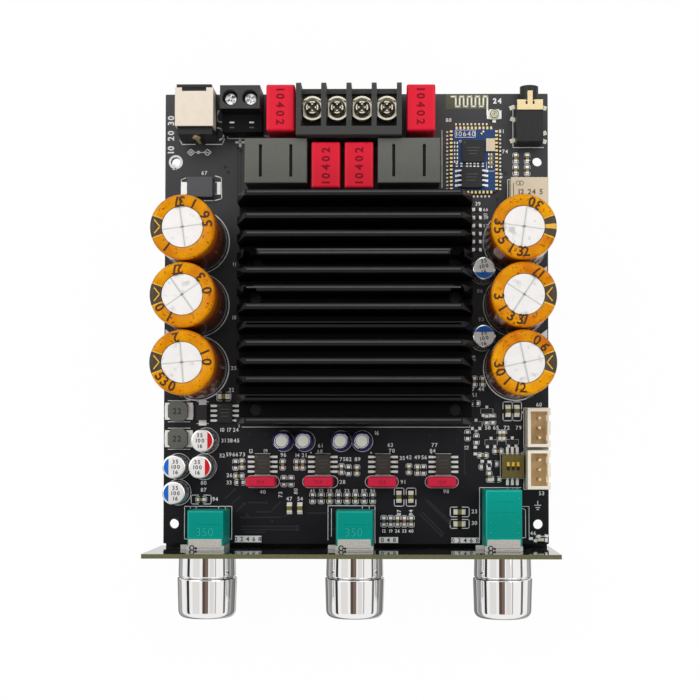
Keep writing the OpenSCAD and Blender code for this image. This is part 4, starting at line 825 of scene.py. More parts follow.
def rim_digits(print_to, x, y, radius, high, marks):
    for angle, figure in marks:
        outline, shapes, width = glyph(figure, 0.03)
        outline, shapes = sliced(outline, shapes, RIM_DIGIT_SLICE)
        start = len(print_to.points)
        for px, py in outline:
            r, z = rim_point(radius, high, RIM_DIGIT_BASE + py * RIM_DIGIT, RIM_DIGIT_LIFT)
            turn = math.radians(angle) + (px - width / 2) * RIM_DIGIT / RIM_DIGIT_RADIUS
            print_to.points.append((x + r * math.cos(turn), y + r * math.sin(turn), z))
        print_to.faces += [tuple(start + i for i in shape) for shape in shapes]


def sleeve_look(count, facing, split):
    """Place in SLEEVE_LOOKS for a face of a sleeve, from its place round the stripe."""
    part, step = divmod(count, SLEEVE_STEPS)
    away = abs(((step + 0.5) * 360 / SLEEVE_STEPS - facing + 180) % 360 - 180)
    if away < STRIPE_HALF and not (split and away < STRIPE_SPLIT):
        return 1
    if away < STRIPE_HALF + STRIPE_BORDER:
        return 2
    return 3 if part == 0 else 0


def add_bulk_capacitors():
    scores, lip_shade = print_on("bulk_capacitor_cans"), print_on("bulk_capacitor_cans")
    score_shades = print_on("bulk_capacitor_cans", INK_LIFT / 2)
    arrows, figures = Print(0), Print(0)
    for number, (facing, cross, split, marks) in BULK_MARKS.items():
        name = f"bulk_sleeve_{number}"
        low, high = node_box(name)
        x, y, top = (low.x + high.x) / 2, (low.y + high.y) / 2, high.z
        radius = (high.x - low.x) / 2
        profile = [(radius, low.z), (radius, top - RIM_EDGE)]
        profile += arc(radius - RIM_EDGE, top - RIM_EDGE, RIM_EDGE, 15, 90, 5)
        profile += [(RIM_INNER + 0.3, top - 0.04), (RIM_INNER, top - 0.28)]
        profile += [(radius - SLEEVE_WALL, top - 0.34), (radius - SLEEVE_WALL, low.z)]
        points, faces = turned(profile, SLEEVE_STEPS, closed=True)
        chosen = [sleeve_look(count, facing, split) for count in range(len(faces))]
        piece = mesh_piece(f"{name}_shell", moved(points, x, y), faces, SLEEVE_LOOKS,
                           smooth=True, chosen=chosen)
        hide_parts(name)
        rim_digits(figures, x, y, radius, top, marks)
        arrows.height = top + 0.02
        for side in () if split else SIDES:
            ends = [on_circle(x, y, 6.85, facing + side * 13), on_circle(x, y, 5.5, facing + side)]
            arrows.line(ends, 0.28)
        reach = RIM_INNER - 0.35
        for angle, width in ((cross, 0.16), (cross + 90, 0.26)):
            path = [on_circle(x, y, -reach, angle), on_circle(x, y, reach, angle)]
            scores.line(path, width)
            # Painted shade: wider, slightly darker bands along the scored lines
            score_shades.line(path, width * 3)
        # Painted shade: a dark brown ring in the crease where the sleeve's lip meets the can top
        lip_shade.ring(x, y, RIM_INNER - 0.06, 0.16, steps=72)
    scores.piece("can_scores", "score_line")
    score_shades.piece("can_score_dips", "score_dip")
    lip_shade.piece("sleeve_lips", "rim_brown")
    arrows.piece("stripe_arrows", "sleeve_yellow")
    figures.piece("rim_figures", "sleeve_print")


# Small capacitors: aluminium cans with a coloured segment, and sleeved round ones

CAN_RADIUS = 3.0
CAN_EDGE = 0.45
CAN_STEPS = 64
CAN_FIGURES = ("35", "100", "16")
CAN_ROW = 1.35
CAN_SHIFT = -0.55
# Middle of each can, side its coloured segment faces, half angle of the segment, colour
SMALL_CANS = (
    (32.9, 18.35, 270, 66, "blue"), (32.9, 1.05, 90, 66, "blue"),
    (-46.2, -32.35, 180, 60, "blue"), (-46.2, -39.05, 180, 60, "blue"),
    (-38.9, -25.65, 0, 60, "red"), (-39.5, -32.45, 0, 60, "red"),
)
RADIAL_LIP = 1.6
RADIAL_EDGE = 0.5
RADIAL_STEPS = 56
RADIAL_X = (-18.8, -13.3, -3.8, 1.7)
RADIAL_Y = -25.75


def add_small_cans():
    low, high = node_box("small_can_tops")
    bottom, top, r = low.z, high.z, CAN_RADIUS
    profile = [(0, bottom), (r, bottom), (r, bottom + 0.8), (r - 0.2, bottom + 1.0), (r - 0.2, bottom + 1.2)]
    profile += [(r, bottom + 1.4), (r, top - CAN_EDGE)]
    profile += arc(r - CAN_EDGE, top - CAN_EDGE, CAN_EDGE, 22, 90, 4) + [(0, top)]
    add_shells("small_can_shells", "small_can_tops", profile, CAN_STEPS,
               [can[:2] for can in SMALL_CANS], ["can_metal", "can_white"])
    segments = {colour: print_on("small_can_tops") for colour in ("blue", "red")}
    figures = print_on("small_can_tops")
    for x, y, facing, half, colour in SMALL_CANS:
        segments[colour].segment(x, y, r - CAN_EDGE - 0.02, facing, half)
        left, middle = on_circle(x, y, CAN_SHIFT, facing)
        turn = 12 if facing % 180 else 0
        for row, text in enumerate(CAN_FIGURES):
            figures.digits(text, left, middle + CAN_ROW * (1 - row), 1.0, turn, weight=0.035, gap=0.12)
    for colour, segment in segments.items():
        segment.piece(f"{colour}_segments", f"mark_{colour}")
    figures.piece("can_figures", "ink_dark")


def add_radial_capacitors():
    low, high = node_box("radial_capacitors")
    r, y, top, lip = (high.y - low.y) / 2, (low.y + high.y) / 2, high.z, RADIAL_LIP
    profile = [(0, low.z), (r - 0.15, low.z), (r, low.z + 0.3), (r, top - RADIAL_EDGE)]
    profile += arc(r - RADIAL_EDGE, top - RADIAL_EDGE, RADIAL_EDGE, 22, 90, 4)
    profile += [(lip, top), (lip - 0.12, top - 0.2), (0, top - 0.14)]
    add_shells("radial_shells", "radial_capacitors", profile, RADIAL_STEPS,
               [(x, y) for x in RADIAL_X], ["navy", "can_pale"])
    marks = print_on("radial_capacitors")
    # Painted highlights: white rings and arcs round the opening and on the rounded rim of each top
    for x in RADIAL_X:
        marks.ring(x, y, 1.72, 0.16, steps=40)
        marks.ring(x, y, 2.02, 0.16, 200, 250, 10)
        marks.ring(x, y, 2.02, 0.12, 20, 60, 8)
    marks.piece("radial_marks", "ink_white")


# Chrome knobs

KNOB_AXIS = 8.6
KNOB_BACK_R = 7.25
KNOB_R = 7.5
KNOB_FRONT_R = 7.25
KNOB_LENGTH = 15.4
KNOB_GROOVE = 5.2
KNOB_EDGE = 1.8
KNOB_STEPS = 112
# Shallow dish turned into the front
KNOB_DISH = 4.9


def straight(r0, z0, r1, z1, inset=0.22):
    """A straight run of a profile with a ring close to each end, which keeps its reflections straight."""
    share = inset / (z1 - z0)
    rings = [0.0, share, 1.0 - share, 1.0]
    return [(r0 + (r1 - r0) * s, z0 + (z1 - z0) * s) for s in rings]


def add_knobs():
    # Radius and distance from the knob's back, from the bore out and round to the front
    profile = [(0, 13.0), (3.05, 13.0), (3.05, 5.0), (4.5, 5.0), (4.5, 6.2), (6.2, 6.2), (6.2, 0.0)]
    profile += [(KNOB_BACK_R - 0.35, 0.0)]
    profile += straight(KNOB_BACK_R - 0.1, 0.12, KNOB_BACK_R, KNOB_GROOVE - 0.4)
    profile += [(KNOB_BACK_R - 0.08, KNOB_GROOVE - 0.22), (KNOB_BACK_R - 0.32, KNOB_GROOVE)]
    profile += [(KNOB_R - 0.12, KNOB_GROOVE + 0.2)]
    profile += straight(KNOB_R, KNOB_GROOVE + 0.4, KNOB_FRONT_R, KNOB_LENGTH - KNOB_EDGE)
    profile += arc(KNOB_FRONT_R - KNOB_EDGE, KNOB_LENGTH - KNOB_EDGE, KNOB_EDGE, 11.25, 90, 7)
    profile += [(KNOB_DISH + 0.12, KNOB_LENGTH), (KNOB_DISH - 0.1, KNOB_LENGTH - 0.14)]
    profile += [(KNOB_DISH * 0.5, KNOB_LENGTH - 0.32), (0.4, KNOB_LENGTH - 0.4), (0, KNOB_LENGTH - 0.4)]
    points, faces = turned(profile, KNOB_STEPS)
    for name in KNOBS:
        low, high = node_box(f"{name}_knob")
        x = (low.x + high.x) / 2
        placed = [(x + px, high.y - pz, KNOB_AXIS + py) for px, py, pz in points]
        piece = mesh_piece(f"{name}_knob_shell", placed, faces, "chrome", f"{name}_dial", smooth=True)
        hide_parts(f"{name}_knob")


# Places of parts, and second looks on the frame's nodes

OPAMP_X = (-24.225, -8.575, 7.075, 22.725)
OPAMP_Y = -31.75
CONVERTER = (-34.0, -18.5)
SOIC_HALF = 1.95
MEMORY = (30.075, 42.7)
MEMORY_HALF = 2.65
CRYSTAL = (34.975, 51.3)
HEADER_X = 46.85
HEADER_Y = (-22.3, -33.0)
SWITCH = (40.6, -32.15)
SUPPLY_COIL_X = -46.05
SUPPLY_COIL_Y = (-18.0, -25.15)
COIL_X, COIL_Y = (-20.0, 13.7), 45.1
TONE_X, TONE_Y = (-24.2, -9.4, 6.9, 22.2), -36.2
TRANSISTORS = ((34.0, -17.95), (35.1, -26.05), (40.6, -25.95), (31.2, -21.35))
POWER_DIODE = (-40.65, 40.35)
SMALL_DIODE = (-39.9, -18.35)
POWER_SCREW_X, POWER_SCREW_Y = (-31.895, -26.815), 61.75
SPEAKER_SCREW_X, SPEAKER_SCREW_Y = (-10.975, -4.625, 1.725, 8.075), 59.35
SOCKET = (36.025, 59.55)
RELAY = (44.7, 38.55)
# Two rows of chip parts at the front: start, pitch, depth and the looks of their bodies
ROW = (-11.2, 2.23, -40.5, ("chip_grey", "chip_grey", "ceramic_tan", "chip_grey", "chip_pink", "chip_olive",
                            "chip_grey", "chip_grey"))
SHORT_ROW = (7.3, 1.77, -46.5, ("chip_grey", "chip_grey", "chip_olive", "chip_pink", "chip_olive"))
BODY_LOOKS = ("chip_grey", "ceramic_tan", "chip_pink", "chip_olive")


def row_places(row):
    start, pitch, y, looks = row
    return [(start + pitch * i, y) for i in range(len(looks))]


def laid(places, turn, z=TOP):
    """Places with a height and a turn; a turn of 90 lays the part front to rear."""
    return [(x, y, z, turn) for x, y in places]


LONG_ROWS = row_places(ROW) + row_places(SHORT_ROW)
TWO_CHIPS = [(-18.7, -36.15), (-16.8, -36.15)]
RESISTOR_ROWS = (
    laid(LONG_ROWS + TWO_CHIPS, 90)
    + laid([(31.5, 24.15 + 2.1 * i) for i in range(6)], 0)
    + laid([(31.0 + 1.8 * i, -28.15 - 1.9 * i) for i in range(3)], 90)
)
BIG_CHIPS = (
    laid([(-17.2, -43.15), (-14.5, -43.15), (11.2, -40.15), (14.3, -40.15),
          (39.5, -17.85), (41.8, -17.85)], 90)
    + laid([(26.9, -44.05), (26.9, -47.15), (-34.4, -14.15)], 0)
)
SMALL_CHIPS = laid([(-19.0, -31.85), (-15.4, -31.85), (-13.8, -31.85), (41.6, 48.05), (44.6, 48.05)], 90)
# Parts the frame doesn't hold: brighter and darker ones
EXTRA_TAN = laid([
    (-29.6, -31.7), (-3.7, -33.0), (13.8, -33.0), (30.8, -10.2), (32.9, -10.2), (37.4, -24.2), (38.4, -24.2),
    (16.0, -33.2), (0.3, -33.3), (34.6, -34.9), (41.6, 44.9), (44.6, 44.9),
], 90) + laid([(-30.4, -34.8), (33.0, -29.4), (36.9, -28.3), (-40.2, -40.95)], 0)
EXTRA_DARK = laid([
    (-31.3, -31.9), (29.0, -24.2), (31.3, -25.2), (34.0, -20.1), (35.6, -20.0), (-1.9, -33.3), (17.6, -33.2),
], 90) + laid([(-30.1, -36.5), (35.7, -31.6), (30.9, -15.9), (36.3, -35.6), (33.4, -32.4)], 0)
LEADED_CHIPS = [(x, OPAMP_Y) for x in OPAMP_X] + [CONVERTER]


def near(c, place, reach_x, reach_y):
    return abs(c.x - place[0]) < reach_x and abs(c.y - place[1]) < reach_y


def is_lead(c, n):
    if c.z < TOP + 0.26 and abs(c.x - CONVERTER[0]) > 3.2:
        return True
    return any(near(c, chip, 3.2, 2.6) and abs(c.x - chip[0]) > SOIC_HALF + 0.01 for chip in LEADED_CHIPS)


def paint_nodes():
    fins, coils = node_top("heatsink"), node_top("output_inductors")
    plate_floor = node_box("speaker_terminal_plates")[0].z
    paints = [
        ("main_board", "board_edge", lambda c, n: abs(n.z) < 0.5),
        ("front_panel", "panel_edge", lambda c, n: abs(n.y) < 0.5),
        # Painted light: the fin tops and the upward chamfers of the fin ends get the lighter copies of the
        # anodised finish
        ("heatsink", "fin_top", lambda c, n: n.z > 0.7 and c.z > fins - 0.6),
        ("heatsink", "fin_end", lambda c, n: abs(n.x) > 0.3 and n.z > 0.1 and c.z > fins - 5),
        # Painted shade: dark on the inductors' grooves, the power terminal's lower front and step, and the
        # floors of the speaker terminal's bays
        ("output_inductors", "groove_dark", lambda c, n: coils - 2 < c.z < coils - 0.4 and abs(n.z) > 0.9),
        ("output_inductors", "groove_dark", lambda c, n: c.z > coils - 1.1 and abs(n.x) > 0.9
         and not 7.0 < min(abs(c.x - x) for x in COIL_X) < 8.5),
        ("power_terminal_body", "groove_dark", lambda c, n: c.z < 7.4 and c.y < 61.0),
        ("speaker_terminal_body", "groove_dark", lambda c, n: n.z > 0.9 and abs(c.z - plate_floor) < 0.4),
        ("power_terminal_body", "step_black", lambda c, n: c.y < 58.75 and n.y < 0.5 and abs(n.x) < 0.5),
        ("small_outline_chips", "chip_grey", lambda c, n: near(c, POWER_DIODE, 4.2, 3.2)),
        ("small_outline_chips", "pad_tin", is_lead),
        ("radio_board", "gold_pad", lambda c, n: abs(n.z) < 0.5),
        ("radio_chips", "pad_tin", lambda c, n: near(c, MEMORY, 4.1, 2.7)
         and abs(c.x - MEMORY[0]) > MEMORY_HALF + 0.01),
        ("radio_chips", "crystal_metal", lambda c, n: near(c, CRYSTAL, 1.2, 1.7)),
        ("radio_chips", "ceramic_tan", lambda c, n: 34.2 < c.x < 36.2 and c.y < 49.2),
        # Painted shade: the inside of the headers in a darker tan than their walls
        ("line_headers", "header_inside",
         lambda c, n: any(near(c, (HEADER_X, y), 2.2, 4.25) for y in HEADER_Y)),
        ("slide_switch_body", "pad_tin", lambda c, n: c.z < TOP + 0.21 and abs(c.y - SWITCH[1]) > 3.0),
        ("supply_inductors", "pad_tin", lambda c, n: c.z < TOP + 0.41),
        ("small_outline_chips", "chip_brown", lambda c, n: n.z > 0.5 and c.z > TOP + 1.2
         and any(near(c, (x, OPAMP_Y), SOIC_HALF, 2.6) for x in OPAMP_X)),
        ("chip_capacitors", "chip_olive", lambda c, n: any(near(c, chip, 1.2, 1.2) for chip in BIG_CHIPS)),
    ]
    bodies = ROW[3] + SHORT_ROW[3]
    for look in BODY_LOOKS:
        spots = [place for place, body in zip(LONG_ROWS, bodies) if body == look]
        paints.append(("chip_resistors", look,
                       lambda c, n, spots=spots: any(near(c, spot, 0.8, 0.9) for spot in spots)))
    for paint in paints:
        paint_faces(*paint)


# Chip parts, pads and joints

def add_chip_parts():
    add_ends("resistor_ends", RESISTOR_ROWS, "pad_tin", 1.66, 0.84, 0.47, 0.32)
    add_ends("big_chip_ends", BIG_CHIPS, "cap_cream", 2.06, 1.29, 0.92, 0.5)
    add_ends("small_chip_ends", SMALL_CHIPS, "pad_tin", 1.66, 0.84, 0.82, 0.34)
    add_bodies("tan_chips", EXTRA_TAN, "ceramic_tan", 1.5, 0.78, 0.7)
    add_ends("tan_chip_ends", EXTRA_TAN, "pad_tin", 1.6, 0.82, 0.72, 0.34)
    add_bodies("dark_chips", EXTRA_DARK, "resistor_top", 1.5, 0.78, 0.42)
    add_ends("dark_chip_ends", EXTRA_DARK, "pad_tin", 1.6, 0.82, 0.44, 0.32)
    every = RESISTOR_ROWS + SMALL_CHIPS + EXTRA_TAN + EXTRA_DARK
    add_pads("chip_pads", every, "solder", 2, 1.7, 0.75, 0.9, 0.05)
    add_pads("big_chip_pads", BIG_CHIPS, "solder", 2, 2.2, 0.9, 1.35, 0.05)


JACK_PADS = ((40.7, 61.4), (40.9, 58.3), (40.8, 52.7), (49.0, 61.3), (49.0, 54.6), (49.0, 52.5))
LAMP_PADS = ((47.35, -50.3, TOP, 8), (49.4, -50.2, TOP, -10), (45.4, -50.9, TOP, 0), (46.6, -51.45, TOP, 0),
             (49.35, -51.3, TOP, 90))


def add_chip_pads():
    sides = [(x + side * 3.1, y) for x, y in LEADED_CHIPS for side in SIDES]
    add_pads("soic_pads", laid(sides, 90), "solder", 4, 1.27, 0.62, 1.5, 0.05)
    rows = [(SWITCH[0], SWITCH[1] + side * 4.2) for side in SIDES]
    add_pads("switch_pads", laid(rows, 0), "solder", 3, 1.27, 0.75, 1.5, 0.05)
    coils = [(SUPPLY_COIL_X, y) for y in SUPPLY_COIL_Y]
    add_pads("coil_pads", laid(coils, 0), "solder", 2, 5.6, 1.9, 3.0, 0.06)
    add_pads("diode_pads", laid([POWER_DIODE], 0), "solder", 2, 8.9, 1.5, 3.3, 0.06)
    add_pads("small_diode_pads", laid([SMALL_DIODE], 90), "solder", 2, 5.3, 1.4, 2.0, 0.06)
    jack = [(x, y, TOP, 20 * (-1) ** i) for i, (x, y) in enumerate(JACK_PADS)]
    add_pads("jack_pads", jack, "antenna_white", 1, 1, 1.4, 1.1, 0.1)
    add_pads("relay_pads", laid([(RELAY[0], 42.75)], 0), "antenna_white", 8, 1.1, 0.55, 0.8, 0.08)
    add_pads("lamp_pads", LAMP_PADS, "solder", 1, 1, 1.0, 0.7, 0.12)
    pairs, singles = ([(x, y + shift) for x, y in TRANSISTORS] for shift in SIDES)
    add_pads("transistor_pads", laid(pairs, 0), "solder", 2, 1.9, 0.75, 0.9, 0.05)
    add_pads("transistor_single_pads", laid(singles, 0), "solder", 1, 1.9, 0.75, 0.9, 0.05)


RADIO_PITCH = 1.0
PROCESSOR = (30.475, 49.7)
PROCESSOR_HEIGHT = 0.9
RADIO_COLUMN_X = (26.2, 27.4, 28.9, 29.8, 30.8, 31.7, 33.0)


def mark_rows(marks, rows, width):
    """Level dashes, each from left to right at a depth."""
    for left, right, y in rows:
        marks.line([(left, y), (right, y)], width)


def add_radio_pads(low, high):
    x, y = (low.x + high.x) / 2, (low.y + high.y) / 2
    edge = high.z - TOP + 0.03
    beside = [(low.x - 0.1, y), (high.x + 0.1, y)]
    add_pads("radio_side_pads", laid(beside, 90), "gold_pad", 16, RADIO_PITCH, 0.52, 0.7, edge)
    ends = [(x, low.y - 0.1), (x, high.y + 0.1)]
    add_pads("radio_end_pads", laid(ends, 0), "gold_pad", 10, RADIO_PITCH, 0.52, 0.7, edge)
    beside = [(low.x - 1.1, y), (high.x + 1.1, y)]
    add_pads("radio_side_joints", laid(beside, 90), "antenna_white", 16, RADIO_PITCH, 0.44, 0.5, 0.12)
    ends = [(x, low.y - 1.1), (x - 0.6, high.y + 1.25)]
    add_pads("radio_end_joints", laid(ends, 0), "antenna_white", 9, RADIO_PITCH, 0.42, 0.52, 0.12)
    leads = [(MEMORY[0] + side * 3.75, MEMORY[1]) for side in SIDES]
    add_pads("memory_pads", laid(leads, 90, high.z), "solder", 4, 1.27, 0.6, 1.1, 0.04)


def add_radio_details():
    low, high = node_box("radio_board")
    add_radio_pads(low, high)
    tiny = laid([(26.0, 51.9 - 0.98 * i) for i in range(6)], 0, high.z)
    tiny += laid([(34.9, 48.9 - 1.1 * i) for i in range(4)], 0, high.z)
    tiny += laid([(x, 46.15) for x in RADIO_COLUMN_X], 90, high.z) + [(32.9, 54.6, high.z, 50)]
    add_bodies("radio_tiny_parts", tiny, "ceramic_tan", 0.95, 0.5, 0.4)
    add_ends("radio_tiny_ends", tiny, "pad_tin", 1.0, 0.54, 0.42, 0.24)
    ink = print_on("radio_board")
    ink.frame(low.x + 0.9, high.y - 2.35, low.x + 6.2, high.y - 0.45, 0.12)
    ink.digits("30640", low.x + 3.55, high.y - 1.4, 1.35, weight=0.0, gap=0.06)
    ink.ring((low.x + high.x) / 2 - 3.5, (low.y + high.y) / 2 + 4.9, 0.28, 0.14, steps=16)
    ink.line([(34.0, 47.0), (34.0, 44.6), (36.0, 44.6)], 0.12)
    ink.piece("radio_ink", "ink_white")
    marks = Print(high.z + PROCESSOR_HEIGHT + INK_LIFT)
    x, y = PROCESSOR
    mark_rows(marks, [(x - 1.7 + 0.3 * i, x + 1.6 - 0.4 * i, y + 0.9 - 0.8 * i) for i in range(3)], 0.22)
    marks.disc(x - 2.2, y + 2.2, 0.25)
    marks.height = node_top("radio_chips") + INK_LIFT
    x, y = MEMORY
    mark_rows(marks, [(x - 1.5, x + 1.4 - 0.3 * i, y + 0.8 - 0.8 * i) for i in range(3)], 0.2)
    marks.piece("radio_chip_marks", "chip_mark")


# Antenna track, folded back and forth at the rear edge, with its feed down to the socket
ANTENNA_LEFT = 26.0
ANTENNA_STEP = 1.03
ANTENNA_NEAR, ANTENNA_FAR = 61.75, 64.35
ANTENNA_LINES = 9
ANTENNA_FEED = 59.35
ANTENNA_TRACK = 0.42


def add_antenna():
    track = Print(TOP + PAD_LIFT)
    half = ANTENNA_TRACK / 2
    track.fill(ANTENNA_LEFT - 1.3, ANTENNA_FAR - half, ANTENNA_LEFT + half, ANTENNA_FAR + half)
    for i in range(ANTENNA_LINES):
        x = ANTENNA_LEFT + i * ANTENNA_STEP
        last = i == ANTENNA_LINES - 1
        track.fill(x - half, ANTENNA_FEED if last else ANTENNA_NEAR, x + half, ANTENNA_FAR)
        if not last:
            y = ANTENNA_NEAR if i % 2 == 0 else ANTENNA_FAR
            track.fill(x - half, y - half, x + ANTENNA_STEP + half, y + half)
    track.piece("antenna_track", "antenna_white")
    right = ANTENNA_LEFT + (ANTENNA_LINES - 1) * ANTENNA_STEP
    patch = Print(TOP + INK_LIFT / 3)
    patch.fill(ANTENNA_LEFT - 2.6, ANTENNA_NEAR - 0.7, right + 0.3, ANTENNA_FAR + 0.6)
    patch.piece("antenna_ground", "bare_board")
    ring = print_on("antenna_socket")
    ring.ring(*SOCKET, 1.0, 0.16, steps=32)
    ring.disc(*SOCKET, 0.18, 12)
    ring.piece("socket_ring", "groove_dark")
    add_pads("antenna_socket_pads", laid([SOCKET], 0), "solder", 2, 2.9, 0.9, 2.2, 0.05)
    add_pads("antenna_feed_pad", laid([(SOCKET[0], 57.9)], 0), "solder", 1, 1, 0.9, 0.8, 0.05)


# Printing on the board's top

LABEL = 1.0
ROW_LABEL = 0.85
# Middle of each small label
LABEL_PLACES = (
    (-34.8, -22.8), (-33.0, -22.8), (-31.2, -22.8), (-34.4, -25.6), (-32.7, -25.6), (-31.0, -25.6),
    (-34.7, -29.5), (-33.0, -29.2), (-31.3, -29.2), (-29.5, -29.2), (-39.5, -36.6), (-39.5, -38.4),
    (-36.5, -40.8), (-27.3, -28.3), (-23.5, -28.3), (-32.8, -34.6), (-32.9, -36.5), (-24.1, -38.9),
    (-17.2, -40.7), (-14.4, -40.7), (-9.2, -26.9), (-9.3, -28.4), (-3.4, -30.4), (-1.8, -30.4),
    (0.5, -30.4), (-18.8, -29.3), (-15.2, -29.4), (-13.4, -29.4), (-3.4, -36.3), (12.1, -30.1),
    (13.8, -29.9), (16.0, -29.9), (17.8, -29.9), (9.0, -26.7), (9.4, -28.2), (20.5, -26.7), (20.0, -28.2),
    (12.3, -36.3), (23.5, -38.7), (5.4, -23.6), (30.8, -43.9), (30.8, -46.9), (30.2, -12.2), (32.6, -12.2),
    (30.8, -13.7), (34.3, -22.2), (36.4, -22.2), (39.2, -22.2), (42.3, -22.2), (32.3, 13.4), (32.6, 6.0),
    (-31.8, 20.4), (-31.8, 6.5), (-31.8, -6.7), (-32.4, -12.4), (31.8, 36.2), (46.0, -49.5), (48.2, -39.2),
    (47.6, -16.2), (-39.7, 44.4), (38.9, 49.9), (37.9, 55.2), (24.2, 58.2),
)
ROW_LABELS = [(x, ROW[2] + 1.9) for x, y in row_places(ROW)] + [(x, -49.0) for x, y in row_places(SHORT_ROW)]
UPRIGHT_LABELS = (
    (-19.6, -39.6), (-15.6, -38.7), (11.2, -44.2), (14.3, -44.2), (28.7, -27.4), (31.3, -23.3), (30.5, -4.1),
    (33.7, 27.0), (33.7, 33.0), (36.9, 34.0), (-47.6, 45.9), (37.6, 43.5),
)
# Opposite corners of the outlines of larger chip parts
BOXES = (
    (10.0, -42.6, 12.5, -37.9), (13.1, -42.6, 15.6, -37.9), (24.5, -45.3, 29.4, -42.8),
    (24.5, -48.3, 29.4, -46.0), (38.2, -20.4, 40.6, -15.5), (40.7, -20.4, 43.0, -15.5),
    (-36.2, -15.3, -32.6, -13.0), (-42.8, -42.1, -37.6, -39.8),
)
INK_LINE = 0.16
BOX_LINE, ROW_LINE, CHIP_LINE = 0.2, 0.13, 0.12
BRACKET_CUT = 0.3
BRACKET_REACH = 0.36
TONE_OUTLINES = ((-24.3, 8.9), (-9.2, 9.2), (6.75, 8.6), (22.3, 8.6))
BOX_LABELS = ((-31.4, -52.0, -24.5, -50.3, "0 2 4 6 8"), (6.1, -52.1, 11.0, -50.6, "0 4 8"),
              (24.8, -52.1, 32.1, -50.7, "0 2 4 6 8"))
# Plain printed lines by their width
PRINTED_LINES = {
    INK_LINE: (
        # Small diode and power diode
        ((-41.4, -15.5), (-38.4, -15.5)), ((-41.4, -21.2), (-38.4, -21.2)),
        ((-45.8, 38.2), (-45.8, 42.6), (-44.6, 43.1)),
        # Power jack, radio board, audio jack and lamp
        ((-46.3, 53.0), (-45.6, 51.9)), ((-35.1, 51.9), (-34.5, 53.4)), ((22.4, 55.4), (22.4, 40.4)),
        ((40.9, 50.9), (48.9, 50.9)), ((40.9, 50.9), (40.9, 62.0)),
        ((46.7, -52.0), (46.7, -50.3), (49.4, -50.3)),
        # Controls
        ((-43.0, -42.7), (-43.0, -43.3)), ((-41.5, -42.7), (-41.5, -43.3)), ((-35.6, -42.7), (-35.6, -43.3)),
        ((-33.9, -42.7), (-33.9, -43.3)), ((-7.2, -51.4), (-7.2, -42.5), (5.0, -42.5), (5.0, -52.1)),
        ((-6.3, -50.4), (-6.3, -43.3)), ((1.7, -42.5), (1.7, -43.2)), ((3.5, -42.5), (3.5, -43.2)),
        ((32.1, -51.2), (32.1, -37.75), (42.7, -37.75)), ((42.5, -42.6), (44.9, -42.6), (44.9, -51.2)),
        ((42.5, -43.2), (43.5, -43.2), (44.0, -43.6), (44.0, -50.7), (42.5, -50.7)),
    ),
    0.18: (((-42.4, 49.8), (-40.0, 49.8)),),
    # Mark beside the power jack and earth sign by the lamp
    0.2: (
        ((-43.3, 49.45), (-43.3, 50.15)), ((46.4, -42.3), (47.9, -42.3)), ((46.7, -42.9), (47.6, -42.9)),
        ((47.15, -42.3), (47.15, -41.3)), ((46.95, -43.4), (47.35, -43.4)),
    ),
    # Power diode and power jack
    0.22: (
        ((-36.9, 43.6), (-35.3, 43.1), (-35.2, 37.6), (-37.3, 37.1), (-39.8, 37.1)),
        ((-45.6, 51.9), (-42.2, 51.9)), ((-39.3, 51.9), (-35.1, 51.9)),
    ),
    # Loops beside the power jack
    0.4: (
        ((-36.1, 60.7), (-36.6, 59.3), (-36.35, 57.95), (-35.3, 57.75)),
        ((-36.3, 56.25), (-35.3, 55.9), (-34.6, 54.95), (-34.9, 53.6), (-35.7, 53.1)),
    ),
    # Plus sign of the power terminal
    0.58: (((-31.4, 52.45), (-29.4, 52.45)), ((-30.4, 51.5), (-30.4, 53.3))),
}
# Power terminal, relay, switch and the first control: two corners and the line's width
PRINTED_FRAMES = (
    (-33.7, 53.4, -23.1, 54.1, 0.2), (39.5, 34.7, 49.8, 42.5, INK_LINE), (37.5, -35.4, 43.4, -28.9, 0.13),
    (-44.5, -42.7, -32.2, -51.2, INK_LINE),
)
SLIDER_X = (39.33, 40.6, 41.87)
# Diamonds of the mark beside the power jack
DIAMOND_X, DIAMOND_Y = (-43.3, -38.95), 49.8
REAR_HOLE = (-47.25, 47.25)


def label_text(count):
    return str(10 + (count * 7) % 89)


def print_labels(ink):
    beside_column = [(33.9 - 0.1 * (i % 2), 24.15 + 2.1 * i) for i in range(6)]
    for places, first, height, turn in ((LABEL_PLACES, 0, LABEL, 0), (ROW_LABELS, 5, ROW_LABEL, 0),
                                        (UPRIGHT_LABELS, 9, LABEL, 90), (beside_column, 3, ROW_LABEL, 0)):
        for count, (x, y) in enumerate(places):
            ink.digits(label_text(count + first), x, y, height, turn)
    ink.digits("10 20 30", -48.6, 54.5, 1.6, 90, weight=0.045, gap=0.1)
    ink.digits("24", 37.0, 63.2, 1.35, weight=0.05, gap=0.1)
    for count, x in enumerate(SLIDER_X):
        ink.digits(str(count + 1), x, -38.0, 0.8)


def print_brackets(ink, x0, y0, x1, y1, width):
    """Outline of a chip part: two brackets with cut corners that leave the middle of the long sides open."""
    upright = y1 - y0 > x1 - x0
    if upright:
        x0, y0, x1, y1 = y0, x0, y1, x1
    reach, cut = (x1 - x0) * BRACKET_REACH, BRACKET_CUT
    for x, turn in ((x0, 1), (x1, -1)):
        path = [(x + turn * reach, y0), (x + turn * cut, y0), (x, y0 + cut), (x, y1 - cut),
                (x + turn * cut, y1), (x + turn * reach, y1)]
        ink.line([point[::-1] for point in path] if upright else path, width)


